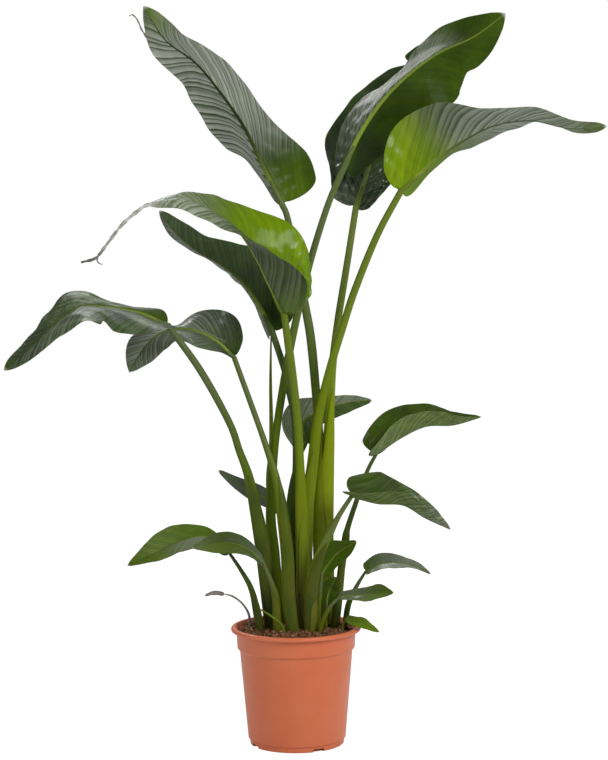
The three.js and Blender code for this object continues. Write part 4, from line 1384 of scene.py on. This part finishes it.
@dataclass
class Soil:
    """The potting soil: a crumbly body with loose crumbs and fibres on it."""

    pot: Pot
    top: float = SOIL_TOP
    mound: float = 6
    relief: float = 2.5
    lump_scale: float = 0.12
    lump_height: float = 3.2
    hollow_place: tuple[float, float] = (-68, -42)
    hollow_size: tuple[float, float, float] = (17, 12, 9)
    top_radii: tuple[float, float] = (0.3, 108.6)
    rim_start: float = 101
    rim_drop: float = 3
    wall_gap: float = 2.4
    floor: tuple[float, float] = (85.0, 2.9)
    rings: int = 56
    sides: int = 150
    crumbs: int = 1150
    crumb_spread: float = 101
    crumb_size: tuple[float, float] = (1.2, 5.2)
    crumb_shades: tuple[float, ...] = (0.0, 0.0, 0.1, 0.5)
    fibres: int = 420
    fibre_spread: float = 103
    seed: int = 41

    def level(self, x: float, y: float) -> float:
        """The height of the soil at a place, all in millimetres.

        Args:
            x: The place's first coordinate.
            y: The place's second coordinate.

        Returns:
            The height above the floor.
        """
        bumps = math.sin(0.11 * x + 1) * math.cos(0.13 * y) + 0.6 * math.sin(0.23 * (x + y))
        rise = self.mound * (1 - math.hypot(x, y) / self.pot.collar_top)
        lumps = noise.fractal(Vector((x * self.lump_scale, y * self.lump_scale, 3.0)), 0.7, 2.0, 5)
        (place_x, place_y), (long, wide, deep) = self.hollow_place, self.hollow_size
        hollow = deep * math.exp(-(((x - place_x) / long) ** 2) - ((y - place_y) / wide) ** 2)
        return self.top + self.relief * bumps + rise + self.lump_height * lumps - hollow

    def body(self) -> bmesh.types.BMesh:
        """The closed body, from the middle of its top down the wall to the floor."""
        ways = np.column_stack([np.cos(turns(self.sides)), np.sin(turns(self.sides))])
        rows = []
        for radius in np.linspace(*self.top_radii, self.rings):
            drop = self.rim_drop * smooth((radius - self.rim_start) / 8)
            rows.append([(x, y, self.level(x, y) - drop) for x, y in (radius * ways).tolist()])
        middle, (foot, floor) = self.top_radii[0], self.floor
        wall = [(radius - self.wall_gap, level) for radius, level in reversed(self.pot.steps()[:-1])]
        for radius, level in [*wall, (foot, floor), (middle, floor)]:
            rows.append(np.column_stack([radius * ways, np.full(self.sides, level)]))
        return closed_skin(np.array(rows), {"paleness": 0.0})

    def spot(self, rng: random.Random, spread: float, lift: float) -> Matrix:
        """A random place on the soil.

        Args:
            rng: The source of the draws.
            spread: How far from the middle it may lie, in millimetres.
            lift: How far it stands above the soil, in millimetres.

        Returns:
            The move to it, in metres.
        """
        radius = spread * math.sqrt(rng.random())
        turn = rng.uniform(0, math.tau)
        x, y = radius * math.cos(turn), radius * math.sin(turn)
        return Matrix.Translation((x * MM, y * MM, (self.level(x, y) + lift) * MM))

    def add_crumb(self, bm: bmesh.types.BMesh, pale: Layer, rng: random.Random) -> None:
        """Adds one loose crumb.

        Args:
            bm: The mesh that it joins.
            pale: The layer of its paleness.
            rng: The source of the draws.
        """
        where = self.spot(rng, self.crumb_spread, 0.6)
        least, spare = self.crumb_size
        size = (least + spare * rng.random() ** 2) * MM
        turned = Euler([rng.uniform(0, math.tau) for _ in range(3)]).to_matrix().to_4x4()
        squashed = Matrix.Diagonal((size, size * rng.uniform(0.5, 1), size * rng.uniform(0.35, 0.8), 1))
        matrix = where @ turned @ squashed
        crumb = bmesh.ops.create_icosphere(bm, subdivisions=1, radius=1, matrix=matrix)
        shade = rng.choice(self.crumb_shades)
        for vert in crumb["verts"]:
            vert[pale] = shade

    def add_fibre(self, bm: bmesh.types.BMesh, pale: Layer, rng: random.Random) -> None:
        """Adds one bent fibre.

        Args:
            bm: The mesh that it joins.
            pale: The layer of its paleness.
            rng: The source of the draws.
        """
        where = self.spot(rng, self.fibre_spread, 0.5)
        heading, length = rng.uniform(0, math.tau), rng.uniform(5, 17) * MM
        bend, lift = rng.uniform(-1.2, 1.2), rng.uniform(0.4, 2.8) * MM
        radius, shade = rng.uniform(0.18, 0.42) * MM, rng.uniform(0.3, 1.0)
        before = len(bm.verts)
        bmesh.ops.create_cone(
            bm, cap_ends=True, segments=4, radius1=radius, radius2=radius / 2,
            depth=length, matrix=Matrix.Rotation(math.pi / 2, 4, "Y"),
        )
        bm.verts.ensure_lookup_table()
        edges = {edge for vert in bm.verts[before:] for edge in vert.link_edges}
        long_edges = [edge for edge in edges if edge.calc_length() > length / 2]
        bmesh.ops.subdivide_edges(bm, edges=long_edges, cuts=4)
        bm.verts.ensure_lookup_table()
        fibre = bm.verts[before:]
        for vert in fibre:
            along = vert.co.x / length
            vert.co.y += bend * along * along * length
            vert.co.z += lift * (1 - 4 * along * along)
            vert[pale] = shade
        bmesh.ops.transform(bm, verts=fibre, matrix=where @ Matrix.Rotation(heading, 4, "Z"))

    def litter(self) -> bmesh.types.BMesh:
        """The loose crumbs and fibres, as one mesh."""
        rng = random.Random(self.seed)
        bm = bmesh.new()
        pale = bm.verts.layers.float.new("paleness")
        for _ in range(self.crumbs):
            self.add_crumb(bm, pale, rng)
        for _ in range(self.fibres):
            self.add_fibre(bm, pale, rng)
        return bm

    def build(self, finish: bpy.types.Material) -> None:
        """Makes the body and the litter in the soil's material."""
        add_piece("crumbly_soil", self.body(), finish, "potting_soil", "soil")
        add_piece("soil_litter", self.litter(), finish, "potting_soil")


@dataclass
class Softbox:
    """A large soft light that looks at the plant."""

    name: str
    place: tuple[float, float, float]
    aim: tuple[float, float, float]
    size: float
    power: float

    def build(self) -> None:
        """Makes the light."""
        data = bpy.data.lights.new(self.name, "AREA")
        data.shape, data.size, data.energy = "SQUARE", self.size, self.power
        light = show(self.name, data)
        light.location = self.place
        look = Vector(self.aim) - Vector(self.place)
        light.rotation_euler = look.to_track_quat("-Z", "Y").to_euler()


@dataclass
class Studio:
    """The camera, the pale floor and the soft light."""

    camera_place: tuple[float, float, float] = (0.0, -4.5, 1.12)
    pitch: float = 5.43
    yaw: float = 0.259
    roll: float = -0.62
    lens: float = 114.07
    sensor: float = 36.0
    sight: float = 60.0
    floor_radius: float = 9.0
    floor_drop: float = 0.0004
    sky_above: float = 0.42
    sky_beside: float = 0.20
    lights: tuple[Softbox, ...] = (
        Softbox("key", (2.3, -2.9, 2.7), (0.0, 0.0, 0.8), 1.7, 125),
        Softbox("fill", (-3.0, -2.2, 2.0), (0.0, 0.0, 0.8), 1.8, 26),
        Softbox("back", (-0.6, 2.6, 3.0), (0.0, 0.0, 0.9), 1.6, 65),
    )

    def build_camera(self) -> None:
        """Makes the camera at the photograph's viewing angle."""
        data = bpy.data.cameras.new("camera")
        data.lens, data.sensor_width, data.sensor_fit = self.lens, self.sensor, "AUTO"
        data.clip_end = self.sight
        pitch, yaw, roll = map(math.radians, (self.pitch, self.yaw, self.roll))
        level = Vector((math.sin(yaw), math.cos(yaw), 0.0))
        ahead = math.cos(pitch) * level - Vector((0.0, 0.0, math.sin(pitch)))
        right = Vector((math.cos(yaw), -math.sin(yaw), 0.0))
        above = right.cross(ahead)
        turned_right = math.cos(roll) * right + math.sin(roll) * above
        turned_above = -math.sin(roll) * right + math.cos(roll) * above
        turned = Matrix((turned_right, turned_above, -ahead)).transposed()
        camera = show("camera", data)
        camera.matrix_world = Matrix.Translation(self.camera_place) @ turned.to_4x4()
        bpy.context.scene.camera = camera

    def build_floor(self) -> None:
        """Makes the floor."""
        bm = bmesh.new()
        bmesh.ops.create_circle(bm, cap_ends=True, segments=96, radius=self.floor_radius)
        bmesh.ops.translate(bm, verts=bm.verts, vec=(0, 0, -self.floor_drop))
        floor = show("studio_floor", bm)
        floor.data.materials.append(StudioPaper().material())

    def build_sky(self) -> None:
        """Makes the sky: plain white behind the plant, and dimmer as a light, most of all beside it."""
        n = Nodes(bpy.data.worlds.new("studio"))
        glow = self.sky_beside + (self.sky_above - self.sky_beside) * n.level().step(0.0, 1.0)
        seen = n.seen()
        strength = seen + (1 - seen) * glow
        sky = n.wire("ShaderNodeBackground", {}, {"Color": (1, 1, 1, 1), "Strength": strength})
        n.add("ShaderNodeOutputWorld", {}, {"Surface": sky})
        bpy.context.scene.world = n.owner

    def build(self) -> None:
        """Makes the whole studio."""
        self.build_camera()
        self.build_floor()
        for light in self.lights:
            light.build()
        self.build_sky()
        bpy.context.scene.view_settings.view_transform = "Standard"
        log.info("studio: %d lights", len(self.lights))


@dataclass
class Plant:
    """All the leaves, stalks, sheaths, threads and shoots."""

    leaves: list[Leaf]
    sheaths: list[Sheath]
    threads: list[Thread]
    shoots: dict[str, Rows]

    def build(self) -> None:
        """Makes every piece of the plant."""
        leaf_skin, stalk_skin, dry_skin = (kind().material() for kind in (LeafSkin, StalkSkin, DrySkin))
        for leaf in self.leaves:
            blade = Blade(leaf)
            stalk = Stalk.under(blade)
            for part, made, slot, finish in (
                ("blade", blade, "leaf", leaf_skin), ("stalk", stalk, "stalk", stalk_skin)
            ):
                if leaf.rot:
                    slot, finish = "dry_leaf", dry_skin
                add_piece(f"{leaf.name}_fine_{part}", made.skin(), finish, slot, f"{leaf.name}_{part}")
            own = [sheath for sheath in self.sheaths if sheath.owner == leaf.name]
            for number, sheath in enumerate(own, 1):
                add_piece(f"{leaf.name}_sheath_{number}", sheath.skin(stalk), stalk_skin, "stalk")
        for thread in self.threads:
            add_piece(thread.name, thread.skin(), dry_skin, "leaf")
        for name, rows in self.shoots.items():
            add_piece(f"{name}_rolled", Shoot(rows).skin(), stalk_skin, "stalk", name)


def main() -> None:
    """Builds the studio and the potted plant."""
    logging.basicConfig(level=logging.INFO, format="%(message)s")
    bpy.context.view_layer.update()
    Studio().build()
    pot = Pot()
    pot.build(PotPlastic().material())
    Soil(pot).build(SoilCrumb().material())
    Plant(LEAVES, SHEATHS, THREADS, SHOOTS).build()


if __name__ == "__main__":
    main()
